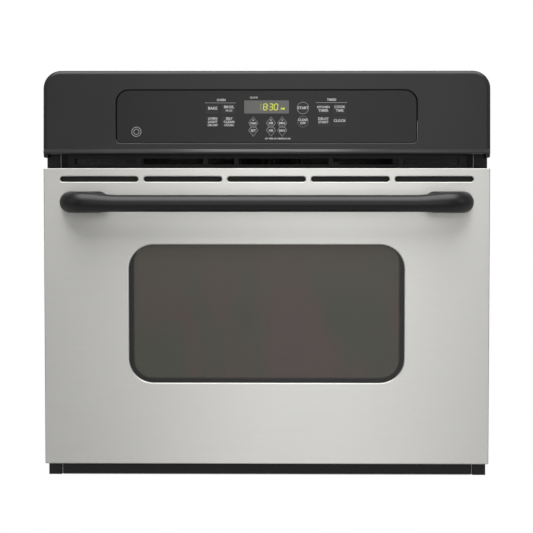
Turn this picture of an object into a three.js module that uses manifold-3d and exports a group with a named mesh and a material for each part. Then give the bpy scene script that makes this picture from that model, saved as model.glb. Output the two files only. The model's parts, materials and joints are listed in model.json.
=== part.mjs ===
// Built-in electric wall oven for a 30-inch cabinet: control panel, drop-down door, porcelain
// cavity, heating elements, racks, cooling air path, door hinges and the self-clean latch.
// Millimetres. +Z is up, +X is to the right, and the front looks along -Y.
// The origin is under the middle of the appliance, level with the underside of its base pan.
import * as THREE from "three";
import { mergeVertices } from "three/addons/utils/BufferGeometryUtils.js";
import Module from "manifold-3d";

const wasm = await Module();
wasm.setup();

// ---------------------------------------------------------------- driving dimensions
const FRONT_WIDTH = 755.6;         // door and control panel, 29 3/4 in
const FLOOR = -7;                  // underside of the base pan; heights are drawn from 7 mm above it
const TOP = 687;
const DEPTH = 680;                 // handle to rear cover
const HALF = FRONT_WIDTH / 2;
const BACK = DEPTH / 2;
const DOOR_FACE = -285;            // outer face of the door skin and of the control panel
const LINER_BACK = -247;           // face of the door liner that shuts on the gasket
const FRAME_FACE = -239;           // face of the front frame that carries the gasket
const DOOR_LOW = 19;
const DOOR_HIGH = 522.5;
const PANEL_LOW = 547;
const SHEET = 1.5;                 // folded steel sheet
const SKIN = 1.2;                  // stainless door skin
const GLASS = 4;
const GAP = 0.3;                   // clearance between pieces that touch

const CHASSIS = 354.8;             // half width of the folded steel body
const CHASSIS_TOP = 674;
const FRAME_BACK = FRAME_FACE + SHEET;
const REAR_FLANGE = BACK - 4.5;    // inner face of the rear cover's border
const CAVITY = { half: 300, low: 75, high: 470, back: 234, corner: 20, wall: 2 };
const BLANKET = 24;                // thickness of the mineral-wool blanket

const WINDOW = { half: 234, low: 157.7, high: 391.2, corner: 41, front: DOOR_FACE + 3.5 };
const DOOR_SLOTS = { count: 5, pitch: 142.4, width: 132, height: 9, z: 503.9 };
const GRILLE = { half: 342, bridges: [-221, -105, -52, 110, 230] };

const HANDLE = { z: 463.4, radius: 14.25, inner: 266, outer: 350, mountZ: 465.2, mountHalf: 18.2 };
const PIVOT = { y: -268, z: 35 };  // axis of the door hinges
const HINGE_X = 338;
const PIN = 3;                     // radius of the hinge pin, latch pin and rods

const RACK = { half: 291.5, front: -221, back: 220, rod: 3, wire: 2, wires: 12 };
const LEDGE = { reach: 12, depth: 6, count: 6, pitch: 125 / 3, lowest: 215 - 250 / 3 };
const RACK_HEIGHTS = { rack_lower: 215, rack_upper: 340 };

const LAMP = { x: -235, z: 395, hole: 26 };
const SENSOR = { x: 150, z: 425 };
const ELEMENT = { leg: 30, radius: 3.5, end: 262 };
const BAKE_Z = 92;
const BROIL_Z = 445;
const VENT = { x: 120, y: -120, radius: 14 };
const DUCT = { low: 522, high: 548 };
const BLOWER = { y: 72.3, radius: 72, wheel: 58, blades: 18 };
const LATCH = { x: -12, y: -222, z: 510 };
const SWITCH = { x: 200, z: 508 };
const GLAND = { x: 300, y: 295, radius: 11 };

// ---------------------------------------------------------------- finishes
const finish = (color, roughness, metalness, extra = {}) =>
  new THREE.MeshStandardMaterial({ color, roughness, metalness, ...extra });
const STAINLESS = finish(0xc6c5c1, 0.32, 1);
const PANEL_PAINT = finish(0x3b3b3b, 0.42, 0.2);
const DARK_GLASS = finish(0x2c2c2d, 0.12, 0);
const WINDOW_GLASS = finish(0x4a4843, 0.06, 0, { transparent: true, opacity: 0.5 });
const CLEAR_GLASS = finish(0xcfd6d2, 0.05, 0, { transparent: true, opacity: 0.35 });
const SATIN_BLACK = finish(0x2a2a2a, 0.38, 0.3);
const BLACK_TRIM = finish(0x222222, 0.55, 0.2);
const ZINC_STEEL = finish(0x9b9d9e, 0.45, 0.9);
const PORCELAIN = finish(0x2b2f36, 0.25, 0);
const MINERAL_WOOL = finish(0xcdbf8a, 0.95, 0);
const BRIGHT_WIRE = finish(0xb9bbbc, 0.22, 1);
const ELEMENT_SHEATH = finish(0x3d3a38, 0.6, 0.6);
const FIBRE_SEAL = finish(0x6b6862, 0.9, 0);
const BLACK_PLASTIC = finish(0x1c1c1d, 0.5, 0);
const WHITE_CERAMIC = finish(0xe4e0d6, 0.35, 0);
const BOARD_GREEN = finish(0x23562f, 0.5, 0);

// ---------------------------------------------------------------- solid helpers
// Welds a geometry's vertices and drops the slivers that a lathe leaves on its axis.
function weld(geometry) {
  const bare = geometry.clone();
  bare.deleteAttribute("normal");
  bare.deleteAttribute("uv");
  const welded = mergeVertices(bare, 1e-3);
  const corners = welded.index.array;
  const kept = [];
  for (let i = 0; i < corners.length; i += 3) {
    const [a, b, c] = [corners[i], corners[i + 1], corners[i + 2]];
    if (a !== b && b !== c && c !== a) kept.push(a, b, c);
  }
  welded.setIndex(kept);
  return welded;
}

function toSolid(geometry) {
  const welded = weld(geometry);
  return new wasm.Manifold(new wasm.Mesh({
    numProp: 3,
    vertProperties: new Float32Array(welded.attributes.position.array),
    triVerts: new Uint32Array(welded.index.array),
  }));
}

function toGeometry(solid) {
  const mesh = solid.getMesh();
  const geometry = new THREE.BufferGeometry();
  geometry.setAttribute("position", new THREE.BufferAttribute(mesh.vertProperties, 3));
  geometry.setIndex(new THREE.BufferAttribute(mesh.triVerts, 1));
  return geometry;
}

function cut(body, ...tools) {
  return toGeometry(tools.reduce((left, tool) => left.subtract(toSolid(tool)), toSolid(body)));
}

function join(...pieces) {
  return toGeometry(pieces.map(toSolid).reduce((whole, piece) => whole.add(piece)));
}

// A block between two limits on each axis.
function slab([x0, x1], [y0, y1], [z0, z1]) {
  return new THREE.BoxGeometry(x1 - x0, y1 - y0, z1 - z0)
    .translate((x0 + x1) / 2, (y0 + y1) / 2, (z0 + z1) / 2);
}

// A rectangle with round corners: one radius for the lower pair and one for the upper pair.
function roundRect([x0, x1], [z0, z1], low = 0, high = low) {
  const quarter = Math.PI / 2;
  const path = new THREE.Shape();
  path.absarc(x1 - low, z0 + low, low, -quarter, 0);
  path.absarc(x1 - high, z1 - high, high, 0, quarter);
  path.absarc(x0 + high, z1 - high, high, quarter, 2 * quarter);
  path.absarc(x0 + low, z0 + low, low, 2 * quarter, 3 * quarter);
  return path;
}

const outline = (points) => new THREE.Shape(points.map(([a, b]) => new THREE.Vector2(a, b)));

function disc(x, z, radius) {
  const path = new THREE.Shape();
  path.absarc(x, z, radius, 0, 2 * Math.PI);
  return path;
}

const extrusion = (shape, depth) =>
  new THREE.ExtrudeGeometry(shape, { depth, bevelEnabled: false, curveSegments: 3 });

// The outline is drawn in X and Z, and the thickness runs along Y.
const plate = (shape, [y0, y1]) =>
  extrusion(shape, y1 - y0).rotateX(Math.PI / 2).translate(0, y1, 0);

// A plate with openings, each drawn in X and Z.
const pierced = (shape, openings, [y0, y1]) =>
  cut(plate(shape, [y0, y1]), ...openings.map((opening) => plate(opening, [y0 - 1, y1 + 1])));

// The outline is drawn in X and Y, and the length runs along Z.
const column = (shape, [z0, z1]) => extrusion(shape, z1 - z0).translate(0, 0, z0);

// The outline is drawn in Y and Z, and the length runs along X.
function beam(shape, [x0, x1]) {
  const turn = new THREE.Matrix4().makeBasis(
    new THREE.Vector3(0, 1, 0), new THREE.Vector3(0, 0, 1), new THREE.Vector3(1, 0, 0));
  return extrusion(shape, x1 - x0).applyMatrix4(turn).translate(x0, 0, 0);
}

function rod(axis, radius, [from, to], [u, v], sides = 10) {
  const length = to - from;
  const middle = (from + to) / 2;
  const bar = new THREE.CylinderGeometry(radius, radius, length, sides);
  if (axis === "x") return bar.rotateZ(Math.PI / 2).translate(middle, u, v);
  if (axis === "y") return bar.translate(u, middle, v);
  return bar.rotateX(Math.PI / 2).translate(u, v, middle);
}

// A profile of [radius, height] points turned about Z, from its foot on the axis to its top.
function turned(points, sides = 16) {
  const profile = points.map(([r, h]) => new THREE.Vector2(r, h));
  return weld(new THREE.LatheGeometry(profile, sides)).rotateX(Math.PI / 2);
}

// A round bar bent along a smooth line through the points.
function bentBar(points, radius, steps, sides = 6) {
  const curve = new THREE.CatmullRomCurve3(points.map((p) => new THREE.Vector3(...p)), false,
    "centripetal");
  const section = new THREE.Shape();
  section.absarc(0, 0, radius, 0, 2 * Math.PI);
  return new THREE.ExtrudeGeometry(section,
    { steps, extrudePath: curve, bevelEnabled: false, curveSegments: sides / 2 });
}

function group(parent, x = 0, y = 0, z = 0) {
  const made = new THREE.Group();
  made.position.set(x, y, z);
  parent.add(made);
  return made;
}

function part(parent, name, material, geometry, at = [0, 0, 0]) {
  const mesh = new THREE.Mesh(geometry, material);
  mesh.name = name;
  mesh.position.set(...at);
  parent.add(mesh);
}

const SIDES = [["left", -1], ["right", 1]];
const span = (half) => [-half, half];

// ---------------------------------------------------------------- folded steel body
function basePan(cabinet) {
  const w = CHASSIS - SHEET - GAP;
  const flange = 20;
  const low = FLOOR + SHEET;
  const section = outline([[-w, FLOOR], [w, FLOOR], [w, flange], [w - SHEET, flange],
    [w - SHEET, low], [SHEET - w, low], [SHEET - w, flange], [-w, flange]]);
  part(cabinet, "base_pan", ZINC_STEEL, plate(section, [FRAME_BACK + GAP, REAR_FLANGE - GAP]));
}

function bodySides(cabinet) {
  const lip = 12;
  const inner = CHASSIS - SHEET;
  for (const [side, sign] of SIDES) {
    const section = outline([[inner, FLOOR + 0.5], [CHASSIS, FLOOR + 0.5], [CHASSIS, CHASSIS_TOP],
      [CHASSIS - lip, CHASSIS_TOP], [CHASSIS - lip, CHASSIS_TOP - SHEET],
      [inner, CHASSIS_TOP - SHEET]].map(([x, z]) => [sign * x, z]));
    part(cabinet, `body_side_${side}`, ZINC_STEEL, plate(section, [FRAME_BACK + GAP, REAR_FLANGE - GAP]));
  }
}

// The top sheet has pressed ribs that run front to back, and a hole for the supply conduit.
function topCover(cabinet) {
  const low = CHASSIS_TOP + GAP;
  const high = low + SHEET;
  const rib = { rise: 3, half: 14, slope: 5 };
  const ribs = [210, 70, -70, -210].flatMap((x) => [[x + rib.half, high],
    [x + rib.half - rib.slope, high + rib.rise], [x - rib.half + rib.slope, high + rib.rise],
    [x - rib.half, high]]);
  const section = outline([[-CHASSIS, low], [CHASSIS, low], [CHASSIS, high], ...ribs,
    [-CHASSIS, high]]);
  const opening = rod("z", GLAND.radius + GAP, [low - 5, high + 5], [GLAND.x, GLAND.y], 12);
  part(cabinet, "top_cover", ZINC_STEEL,
    cut(plate(section, [FRAME_BACK + GAP, REAR_FLANGE - GAP]), opening));
}

// The rear sheet has a raised field with rows of short slots that let cooling air in, and a
// lower border where its screws sit.
function rearCover(cabinet) {
  const slots = [];
  for (const x of [-180, 0, 180]) {
    for (let row = 0; row < 5; row += 1) {
      const z = 560 + row * 18;
      slots.push(roundRect([x - 32, x + 32], [z, z + 6]));
    }
  }
  const field = (shrink) => roundRect(span(CHASSIS - 28 - shrink),
    [FLOOR + 28 + shrink, CHASSIS_TOP - 28 - shrink], 12 - shrink);
  const border = plate(roundRect(span(CHASSIS), [FLOOR + 0.5, CHASSIS_TOP]),
    [REAR_FLANGE, REAR_FLANGE + SHEET]);
  part(cabinet, "rear_cover", ZINC_STEEL, cut(
    join(border, plate(field(0), [REAR_FLANGE, BACK])),
    plate(field(SHEET), [REAR_FLANGE - 1, BACK - SHEET]),
    ...slots.map((slot) => plate(slot, [REAR_FLANGE - 2, BACK + 2]))));
}

function frontFrame(cabinet) {
  const openings = [
    roundRect(span(CAVITY.half), [CAVITY.low, CAVITY.high], CAVITY.corner),
    roundRect(span(GRILLE.half - 6), [DUCT.low + 3, DUCT.high - 3]),
    roundRect([LATCH.x - 18, LATCH.x + 42], [LATCH.z - 3, LATCH.z + 7]),
    roundRect(span(30), [590, 630], 6),
    disc(SWITCH.x, SWITCH.z, 4.5),
    ...SIDES.map(([, sign]) =>
      roundRect([sign * HINGE_X - 3.5, sign * HINGE_X + 3.5], [27, 52])),
  ];
  part(cabinet, "front_frame", PORCELAIN,
    pierced(roundRect(span(CHASSIS - 1.8), [FLOOR + 4, CHASSIS_TOP]), openings,
      [FRAME_FACE, FRAME_BACK]));
}

// An angle on each side: its face laps the cabinet front, its return is screwed to the body.
function sideTrims(cabinet) {
  const root = CHASSIS + GAP;
  const lap = FRAME_FACE + 2;
  const edge = HALF - 0.3;
  for (const [side, sign] of SIDES) {
    const section = outline([[root, FRAME_FACE], [edge, FRAME_FACE], [edge, lap], [root + SHEET, lap],
      [root + SHEET, -215], [root, -215]].map(([x, y]) => [sign * x, y]));
    part(cabinet, `side_trim_${side}`, BLACK_TRIM, column(section, [FLOOR, PANEL_LOW - 0.1]));
  }
}

function bottomTrim(cabinet) {
  const [front, top] = [-245, 17.5];
  const section = outline([[front, -4], [front + SHEET, -4], [front + SHEET, top - SHEET],
    [FRAME_FACE - GAP, top - SHEET], [FRAME_FACE - GAP, top], [front, top]]);
  part(cabinet, "bottom_trim", BLACK_TRIM, beam(section, span(352)));
}

// ---------------------------------------------------------------- cavity
// A folded porcelain liner: four walls, and ledges along the sides that carry the racks.
function cavityWrapper(cabinet) {
  const { half, low, high, corner, wall, back } = CAVITY;
  const ring = roundRect(span(half + wall), [low - wall, high + wall], corner + wall);
  const inside = roundRect(span(half), [low, high], corner);
  const ledges = [];
  for (let i = 0; i < LEDGE.count; i += 1) {
    const top = LEDGE.lowest + i * LEDGE.pitch - RACK.rod - GAP;
    for (const [, sign] of SIDES) {
      const section = outline([[half + 1, top], [half - LEDGE.reach, top],
        [half - LEDGE.reach, top - 3], [half + 1, top - LEDGE.depth]]
        .map(([x, z]) => [sign * x, z]));
      ledges.push(plate(section, [-222, 226]));
    }
  }
  const walls = join(pierced(ring, [inside], [FRAME_BACK + GAP, back - GAP]), ...ledges);
  const outlet = rod("z", VENT.radius + GAP, [high - 3, high + 5], [VENT.x, VENT.y], 12);
  part(cabinet, "cavity_wrapper", PORCELAIN, cut(walls, outlet));
}

// What passes through the rear wall: the lamp, the sensor and the legs of both elements.
const rearOpenings = (lampHole) => [disc(LAMP.x, LAMP.z, lampHole), disc(SENSOR.x, SENSOR.z, 4),
  ...span(ELEMENT.leg).flatMap((x) => [disc(x, BAKE_Z, 6), disc(x, BROIL_Z, 6)])];

function cavityBack(cabinet) {
  const { half, low, high, corner, wall, back } = CAVITY;
  const sheet = roundRect(span(half + wall), [low - wall, high + wall], corner + wall);
  part(cabinet, "cavity_back", PORCELAIN,
    pierced(sheet, rearOpenings(LAMP.hole), [back, back + SHEET]));
}

function insulation(cabinet) {
  const { half, low, high, corner, wall, back } = CAVITY;
  const inner = wall + GAP;
  const outer = inner + BLANKET;
  const outside = roundRect(span(half + outer), [low - outer, high + outer], corner + outer);
  const inside = roundRect(span(half + inner), [low - inner, high + inner], corner + inner);
  const outlet = rod("z", VENT.radius + GAP, [high, high + outer + 5], [VENT.x, VENT.y], 12);
  part(cabinet, "insulation_wrap", MINERAL_WOOL,
    cut(pierced(outside, [inside], [FRAME_BACK + 7, back + SHEET]), outlet));
  part(cabinet, "insulation_back", MINERAL_WOOL,
    pierced(outside, rearOpenings(LAMP.hole - 6), [back + SHEET + GAP, back + BLANKET]));
}

function gasket(cabinet) {
  const { half, low, high } = CAVITY;
  part(cabinet, "door_gasket", FIBRE_SEAL, pierced(
    roundRect(span(half + 12), [low - 11, high + 12], 32),
    [roundRect(span(half + 3), [low - 3, high + 3], 23)],
    [LINER_BACK + GAP, FRAME_FACE - GAP]));
}

// Two long loops and a bridge: the sheathed bar leaves and enters the rear wall side by side.
function heatingElement(cabinet, name, z, [outer, inner], [front, rear]) {
  const bend = 15;
  const half = [[ELEMENT.leg, ELEMENT.end], [ELEMENT.leg, ELEMENT.end - 20],
    [ELEMENT.leg, rear + bend], [ELEMENT.leg + bend, rear],
    [outer - bend, rear], [outer, rear - bend], [outer, 0], [outer, front + bend],
    [outer - bend, front], [inner + bend, front], [inner, front + bend], [inner, 0],
    [inner, rear - 75], [inner - bend, rear - 60]];
  const left = half.map(([x, y]) => [-x, y, z]);
  const right = half.map(([x, y]) => [x, y, z]).reverse();
  part(cabinet, name, ELEMENT_SHEATH, bentBar([...left, ...right], ELEMENT.radius, 64));
}

function lamp(cabinet) {
  const seat = group(cabinet, LAMP.x, CAVITY.back, LAMP.z);
  seat.rotation.x = Math.PI / 2;
  part(seat, "lamp_cover", CLEAR_GLASS, turned([[0, 27], [13, 25], [19.5, 19], [20, 8],
    [25, GAP], [29, GAP], [29, 4], [23, 8], [22, 20], [14, 27], [0, 29]]));
  part(seat, "lamp_bulb", CLEAR_GLASS,
    turned([[0, -20], [6, -20], [6, -4], [9, 5], [11, 15], [7, 22], [0, 24]], 12));
  part(seat, "lamp_socket", WHITE_CERAMIC,
    turned([[0, -38], [16, -38], [16, -3], [7, -3], [7, -22], [0, -22]], 12));
}

function temperatureSensor(cabinet) {
  const probe = rod("y", 3, [130, ELEMENT.end], [SENSOR.x, SENSOR.z], 8);
  const flange = slab([SENSOR.x - 15, SENSOR.x + 15], [232.2, CAVITY.back - GAP],
    [SENSOR.z - 7, SENSOR.z + 7]);
  part(cabinet, "temperature_sensor", BRIGHT_WIRE, join(probe, flange));
}

// A rack is a frame of thick rod, a cross rod, and thin wires that run front to back.
function rack(parent, name, z) {
  const { half, front, back, wires } = RACK;
  const pieces = [];
  for (const x of span(half)) pieces.push(rod("y", RACK.rod, [front, back], [x, 0], 6));
  for (const y of [front + RACK.rod, 0, back - RACK.rod]) {
    pieces.push(rod("x", RACK.rod, span(half), [y, 0], 6));
  }
  const pitch = (2 * half) / (wires + 1);
  for (let i = 1; i <= wires; i += 1) {
    pieces.push(rod("y", RACK.wire, [front + 2, back - 2], [i * pitch - half, 1], 4));
  }
  part(parent, name, BRIGHT_WIRE, join(...pieces), [0, 0, z]);
}

// ---------------------------------------------------------------- controls
function controlPanel(controls) {
  const shell = plate(roundRect(span(HALF), [PANEL_LOW, TOP], 4, 30), [DOOR_FACE, FRAME_FACE - 1]);
  const inside = plate(roundRect(span(HALF - 2.5), [PANEL_LOW + 2.5, TOP - 2.5], 2, 27.5),
    [DOOR_FACE + 2.5, FRAME_FACE]);
  const opening = plate(roundRect(span(255.3), [563.7, 655.3], 7, 22),
    [DOOR_FACE - 1, DOOR_FACE + 3]);
  part(controls, "control_panel", PANEL_PAINT, cut(shell, inside, opening));
  part(controls, "panel_glass", DARK_GLASS,
    plate(roundRect(span(255), [564, 655], 7, 22), [DOOR_FACE + 1, DOOR_FACE + 1 + GLASS]));
  for (const [side, sign] of SIDES) {
    const end = roundRect(sign < 0 ? [-HALF + 0.2, -370.8] : [370.8, HALF - 0.2],
      [540, PANEL_LOW - GAP], 3, 0.5);
    part(controls, `panel_end_${side}`, BLACK_PLASTIC, plate(end, [-283, -241]));
  }
}

function electronics(controls) {
  part(controls, "display_module", BLACK_PLASTIC, slab(span(45), [-279.7, -272.3], [608, 643]));
  const board = slab(span(150), [-272, -270.4], [570, 650]);
  const transformer = slab([70, 110], [-271, -248], [590, 625]);
  const relays = [-120, -95, -70].map((x) => slab([x, x + 19], [-271, -255], [580, 596]));
  part(controls, "control_board", BOARD_GREEN, join(board, transformer, ...relays));
}

// ---------------------------------------------------------------- cooling air
function ventGrille(cabinet) {
  const edges = [8 - GRILLE.half, ...GRILLE.bridges, GRILLE.half - 8];
  const slots = edges.slice(1).map((edge, i) => roundRect([edges[i] + 4, edge - 4], [529, 539]));
  part(cabinet, "vent_grille", BLACK_TRIM, pierced(
    roundRect(span(GRILLE.half), [DOOR_HIGH + 0.8, PANEL_LOW - 0.5]), slots,
    [FRAME_FACE - 2, FRAME_FACE - GAP]));
}

// A flat trumpet of sheet steel that spreads the blower's air over the width of the grille.
function airDuct(cabinet) {
  const front = FRAME_BACK + GAP;
  const wide = GRILLE.half - 4;
  const trumpet = (wall, extra) => outline([[wide - wall, front - extra], [wide - wall, -150],
    [62 - wall, extra], [wall - 62, extra], [wall - wide, -150], [wall - wide, front - extra]]);
  const outside = column(trumpet(0, 0), [DUCT.low, DUCT.high]);
  const inside = column(trumpet(SHEET, 2), [DUCT.low + SHEET, DUCT.high - SHEET]);
  const inlet = rod("z", VENT.radius + GAP, [DUCT.low - 4, DUCT.low + 4], [VENT.x, VENT.y], 12);
  part(cabinet, "air_duct", ZINC_STEEL, cut(outside, inside, inlet));
}

function ventTube(cabinet) {
  const r = VENT.radius;
  part(cabinet, "vent_tube", ZINC_STEEL,
    cut(rod("z", r, [CAVITY.high + 0.5, 532], [0, 0], 12),
      rod("z", r - SHEET, [CAVITY.high - 5, 540], [0, 0], 12)), [VENT.x, VENT.y, 0]);
}

function blower(cabinet) {
  const seat = group(cabinet, 0, BLOWER.y, DUCT.low);
  const r = BLOWER.radius;
  const shell = join(rod("z", r, [0, 40], [0, 0], 24), slab(span(62), [-r, 0], [0, 40]));
  part(seat, "blower_housing", ZINC_STEEL, cut(shell,
    rod("z", r - SHEET, [SHEET, 40 - SHEET], [0, 0], 24),
    slab(span(60.5), [-r - 2, 0], [SHEET, 40 - SHEET]),
    rod("z", 42, [30, 50], [0, 0], 16)));
  const [rim, height] = [BLOWER.wheel, 29];
  const hoop = cut(rod("z", rim, [height - 2, height], [0, 0], 24),
    rod("z", rim - 12, [height - 5, height + 5], [0, 0], 24));
  const blades = [];
  for (let i = 0; i < BLOWER.blades; i += 1) {
    blades.push(slab([rim - 11, rim - 2], [-0.8, 0.8], [1, height - 1])
      .rotateZ((2 * Math.PI * i) / BLOWER.blades));
  }
  part(seat, "blower_wheel", ZINC_STEEL, join(rod("z", rim, [0, 2], [0, 0], 24), hoop,
    rod("z", 8, [1, 18], [0, 0], 10), rod("z", PIN, [10, 76], [0, 0], 8), ...blades), [0, 0, 5]);
  const stand = 40 + GAP;
  const motor = join(rod("z", 30, [58, 98], [0, 0], 16), slab(span(60), [-7, 7], [55, 59]),
    slab([-60, -56], [-7, 7], [stand, 58]), slab([56, 60], [-7, 7], [stand, 58]));
  part(seat, "blower_motor", BLACK_TRIM,
    cut(motor, rod("z", PIN + 0.6, [50, 84], [0, 0], 10)));
}

// ---------------------------------------------------------------- supply connection
function junctionBox(cabinet) {
  const shell = slab([262, 338], [255, 335], [598, 660]);
  const inside = slab([263.5, 336.5], [250, 333.5], [599.5, 658.5]);
  const opening = rod("z", GLAND.radius + GAP, [650, 670], [GLAND.x, GLAND.y], 12);
  part(cabinet, "junction_box", ZINC_STEEL, cut(shell, inside, opening));
  const body = join(rod("z", GLAND.radius, [648, TOP - 3], [0, 0], 12),
    rod("z", 17, [CHASSIS_TOP + SHEET + 2 * GAP, TOP - 1], [0, 0], 6));
  part(cabinet, "conduit_gland", ZINC_STEEL,
    cut(body, rod("z", 8, [640, TOP + 5], [0, 0], 12)), [GLAND.x, GLAND.y, 0]);
}

// ---------------------------------------------------------------- latch and door switch
function latch(cabinet) {
  const seat = group(cabinet, LATCH.x, LATCH.y, LATCH.z);
  part(seat, "latch_motor", ZINC_STEEL, join(
    slab([-33, 57], [-14, 75], [-12, -10]), slab([-28, 42], [22, 70], [-11, 10]),
    rod("z", PIN, [-11, 6], [0, 0], 8)));
  const arm = join(rod("z", 8, [0, 3], [0, 0], 12), slab([0, 26], [-5, 3], [0, 3]),
    slab([24, 32], [-5, 9], [0, 3]));
  part(seat, "latch_hook", BRIGHT_WIRE, cut(arm, rod("z", PIN + GAP, [-5, 8], [0, 0], 8)));
}

function doorSwitch(cabinet) {
  const { x, z } = SWITCH;
  const body = slab([x - 10, x + 10], [FRAME_BACK + GAP, -204], [z - 9, z + 9]);
  part(cabinet, "switch_body", BLACK_PLASTIC,
    cut(body, rod("y", PIN + 0.4, [-245, -200], [x, z], 10)));
  part(cabinet, "switch_plunger", WHITE_CERAMIC,
    rod("y", PIN, [LINER_BACK + GAP, -212], [x, z], 10));
}

// ---------------------------------------------------------------- door hinges
// The arm hooks into the receiver and stays with the body; the channel turns with the door.
function hinge(cabinet, door, side, sign) {
  const fixed = group(cabinet, sign * HINGE_X);
  part(fixed, `hinge_receiver_${side}`, ZINC_STEEL, cut(
    slab(span(9.5), [FRAME_BACK + GAP, -176], [21.8, 58]),
    slab(span(PIN + GAP), [-245, -182], [23.5, 52])));
  const bar = new THREE.Shape();
  bar.absarc(PIVOT.y, PIVOT.z, 7, Math.PI / 2, 1.5 * Math.PI);
  for (const [y, z] of [[-236.8, 28], [-236.8, 24.5], [-226, 24.5], [-226, 28], [-190, 28],
    [-190, 42]]) bar.lineTo(y, z);
  part(fixed, `hinge_arm_${side}`, BRIGHT_WIRE,
    join(beam(bar, span(2.5)), rod("x", PIN, span(9.7), [PIVOT.y, PIVOT.z], 12)));

  const moving = group(door, sign * HINGE_X);
  const tab = slab(span(9), [-282.5, -254], [157, 160]);
  const channel = cut(slab(span(10), [-283.3, -252], [22, 300]),
    slab(span(8.5), [-281.8, -250], [20, 302]));
  part(moving, `hinge_channel_${side}`, ZINC_STEEL, cut(join(channel, tab),
    rod("x", PIN + GAP, span(12), [PIVOT.y, PIVOT.z], 12),
    rod("z", PIN + 0.5, [150, 165], [0, PIVOT.y], 10)));
  part(moving, `spring_rod_${side}`, BRIGHT_WIRE, turned([[0, 66], [5, 66], [5, 72], [PIN, 76],
    [PIN, 276], [7.5, 276], [7.5, 281], [0, 281]], 10), [0, PIVOT.y, 0]);
  part(moving, `hinge_spring_${side}`, BRIGHT_WIRE, cut(
    rod("z", 7, [160 + GAP, 276 - GAP], [0, 0], 12),
    rod("z", 4.2, [150, 290], [0, 0], 12)), [0, PIVOT.y, 0]);
}

// ---------------------------------------------------------------- door
// The stainless skin is folded back at its edges, pierced by the window and the air slots.
function doorSkin(door) {
  const rim = -262;
  const outside = slab(span(HALF), [DOOR_FACE, rim], [DOOR_LOW, DOOR_HIGH]);
  const inside = slab(span(HALF - SKIN), [DOOR_FACE + SKIN, rim + 1],
    [DOOR_LOW + SKIN, DOOR_HIGH - SKIN]);
  const lowerEdge = slab(span(HALF - SKIN), [-277, rim + 1], [DOOR_LOW - 1, DOOR_LOW + 2]);
  const opening = plate(roundRect(span(WINDOW.half), [WINDOW.low, WINDOW.high], WINDOW.corner),
    [DOOR_FACE - 1, DOOR_FACE + 3]);
  const slots = [];
  const { count, pitch, width, height, z } = DOOR_SLOTS;
  for (let i = 0; i < count; i += 1) {
    const x = (i - (count - 1) / 2) * pitch;
    const slot = roundRect([x - width / 2, x + width / 2], [z - height / 2, z + height / 2],
      height / 2 - 0.1);
    slots.push(plate(slot, [DOOR_FACE - 1, DOOR_FACE + 3]));
  }
  part(door, "door_skin", STAINLESS, cut(outside, inside, lowerEdge, opening, ...slots));
}

function doorGlasses(door) {
  const pane = (name, half, zs, front, material, radius) => part(door, name, material,
    plate(roundRect(span(half), zs, radius), [front, front + GLASS]));
  pane("window_glass", 252, [140, 409], WINDOW.front, WINDOW_GLASS, 30);
  pane("middle_glass", 243, [139, 410], -262, CLEAR_GLASS, 4);
  pane("inner_glass", 240, [148, 402], -240.8, CLEAR_GLASS, 4);
}

// A steel frame clamps the window; mineral wool fills the door around it.
function doorCore(door) {
  const glassBack = WINDOW.front + GLASS;
  part(door, "door_frame", ZINC_STEEL, pierced(roundRect(span(318), [56, 490], 6),
    [roundRect(span(228), [152, 397], 30)], [glassBack + GAP, glassBack + GAP + SHEET]));
  part(door, "door_insulation", MINERAL_WOOL, pierced(roundRect(span(317), [57, 489], 6),
    [roundRect(span(246), [136, 413], 6)],
    [glassBack + 2 * GAP + SHEET, LINER_BACK - SHEET - GAP]));
}

// The liner is a shallow tray with a raised plug that stands in the cavity mouth.
function doorLiner(door) {
  const half = HALF - SKIN;
  const [low, high] = [DOOR_LOW + 1, DOOR_HIGH - 1.5];
  const plug = { half: 285, low: 95, high: 455, face: -235 };
  const tray = cut(slab(span(half), [-261.7, LINER_BACK], [low, high]),
    slab(span(half - SHEET), [-263, LINER_BACK - SHEET], [low - 1, high - SHEET]));
  const whole = join(tray, plate(roundRect(span(plug.half), [plug.low, plug.high], 14),
    [LINER_BACK - SHEET, plug.face]));
  const notches = SIDES.map(([, sign]) =>
    slab([sign * HINGE_X - 12, sign * HINGE_X + 12], [-265, LINER_BACK + 2], [low - 2, 52]));
  const pocket = plate(roundRect(span(plug.half - SHEET), [plug.low + SHEET, plug.high - SHEET],
    12.5), [LINER_BACK - SHEET - 1, plug.face - SHEET]);
  const sight = plate(roundRect(span(225), [162, 388], 18), [plug.face - 5, plug.face + 2]);
  const latchSlot = slab([LATCH.x - 26, LATCH.x + 46], [-252, LINER_BACK + 2],
    [LATCH.z - 4, LATCH.z + 8]);
  part(door, "door_liner", PORCELAIN, cut(whole, pocket, sight, latchSlot, ...notches));
}

function doorHandle(door) {
  const { z, radius, inner, outer, mountZ, mountHalf } = HANDLE;
  const front = -DEPTH / 2;
  part(door, "handle_bar", SATIN_BLACK,
    rod("x", radius, span(inner - GAP), [front + radius, z], 24));
  const quarter = Math.PI / 2;
  for (const [side, sign] of SIDES) {
    const foot = new THREE.Shape();
    const centre = outer - mountHalf;
    if (sign > 0) foot.absarc(centre, mountZ, mountHalf, -quarter, quarter);
    else foot.absarc(-centre, mountZ, mountHalf, quarter, 3 * quarter);
    foot.lineTo(sign * inner, mountZ + sign * mountHalf);
    foot.lineTo(sign * inner, mountZ - sign * mountHalf);
    part(door, `handle_mount_${side}`, SATIN_BLACK,
      plate(foot, [front + 2, DOOR_FACE - GAP]));
  }
}

// ---------------------------------------------------------------- assembly
const oven = new THREE.Group();
oven.position.z = -FLOOR;
const cabinet = group(oven);
const controls = group(cabinet);
const door = group(oven);

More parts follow.
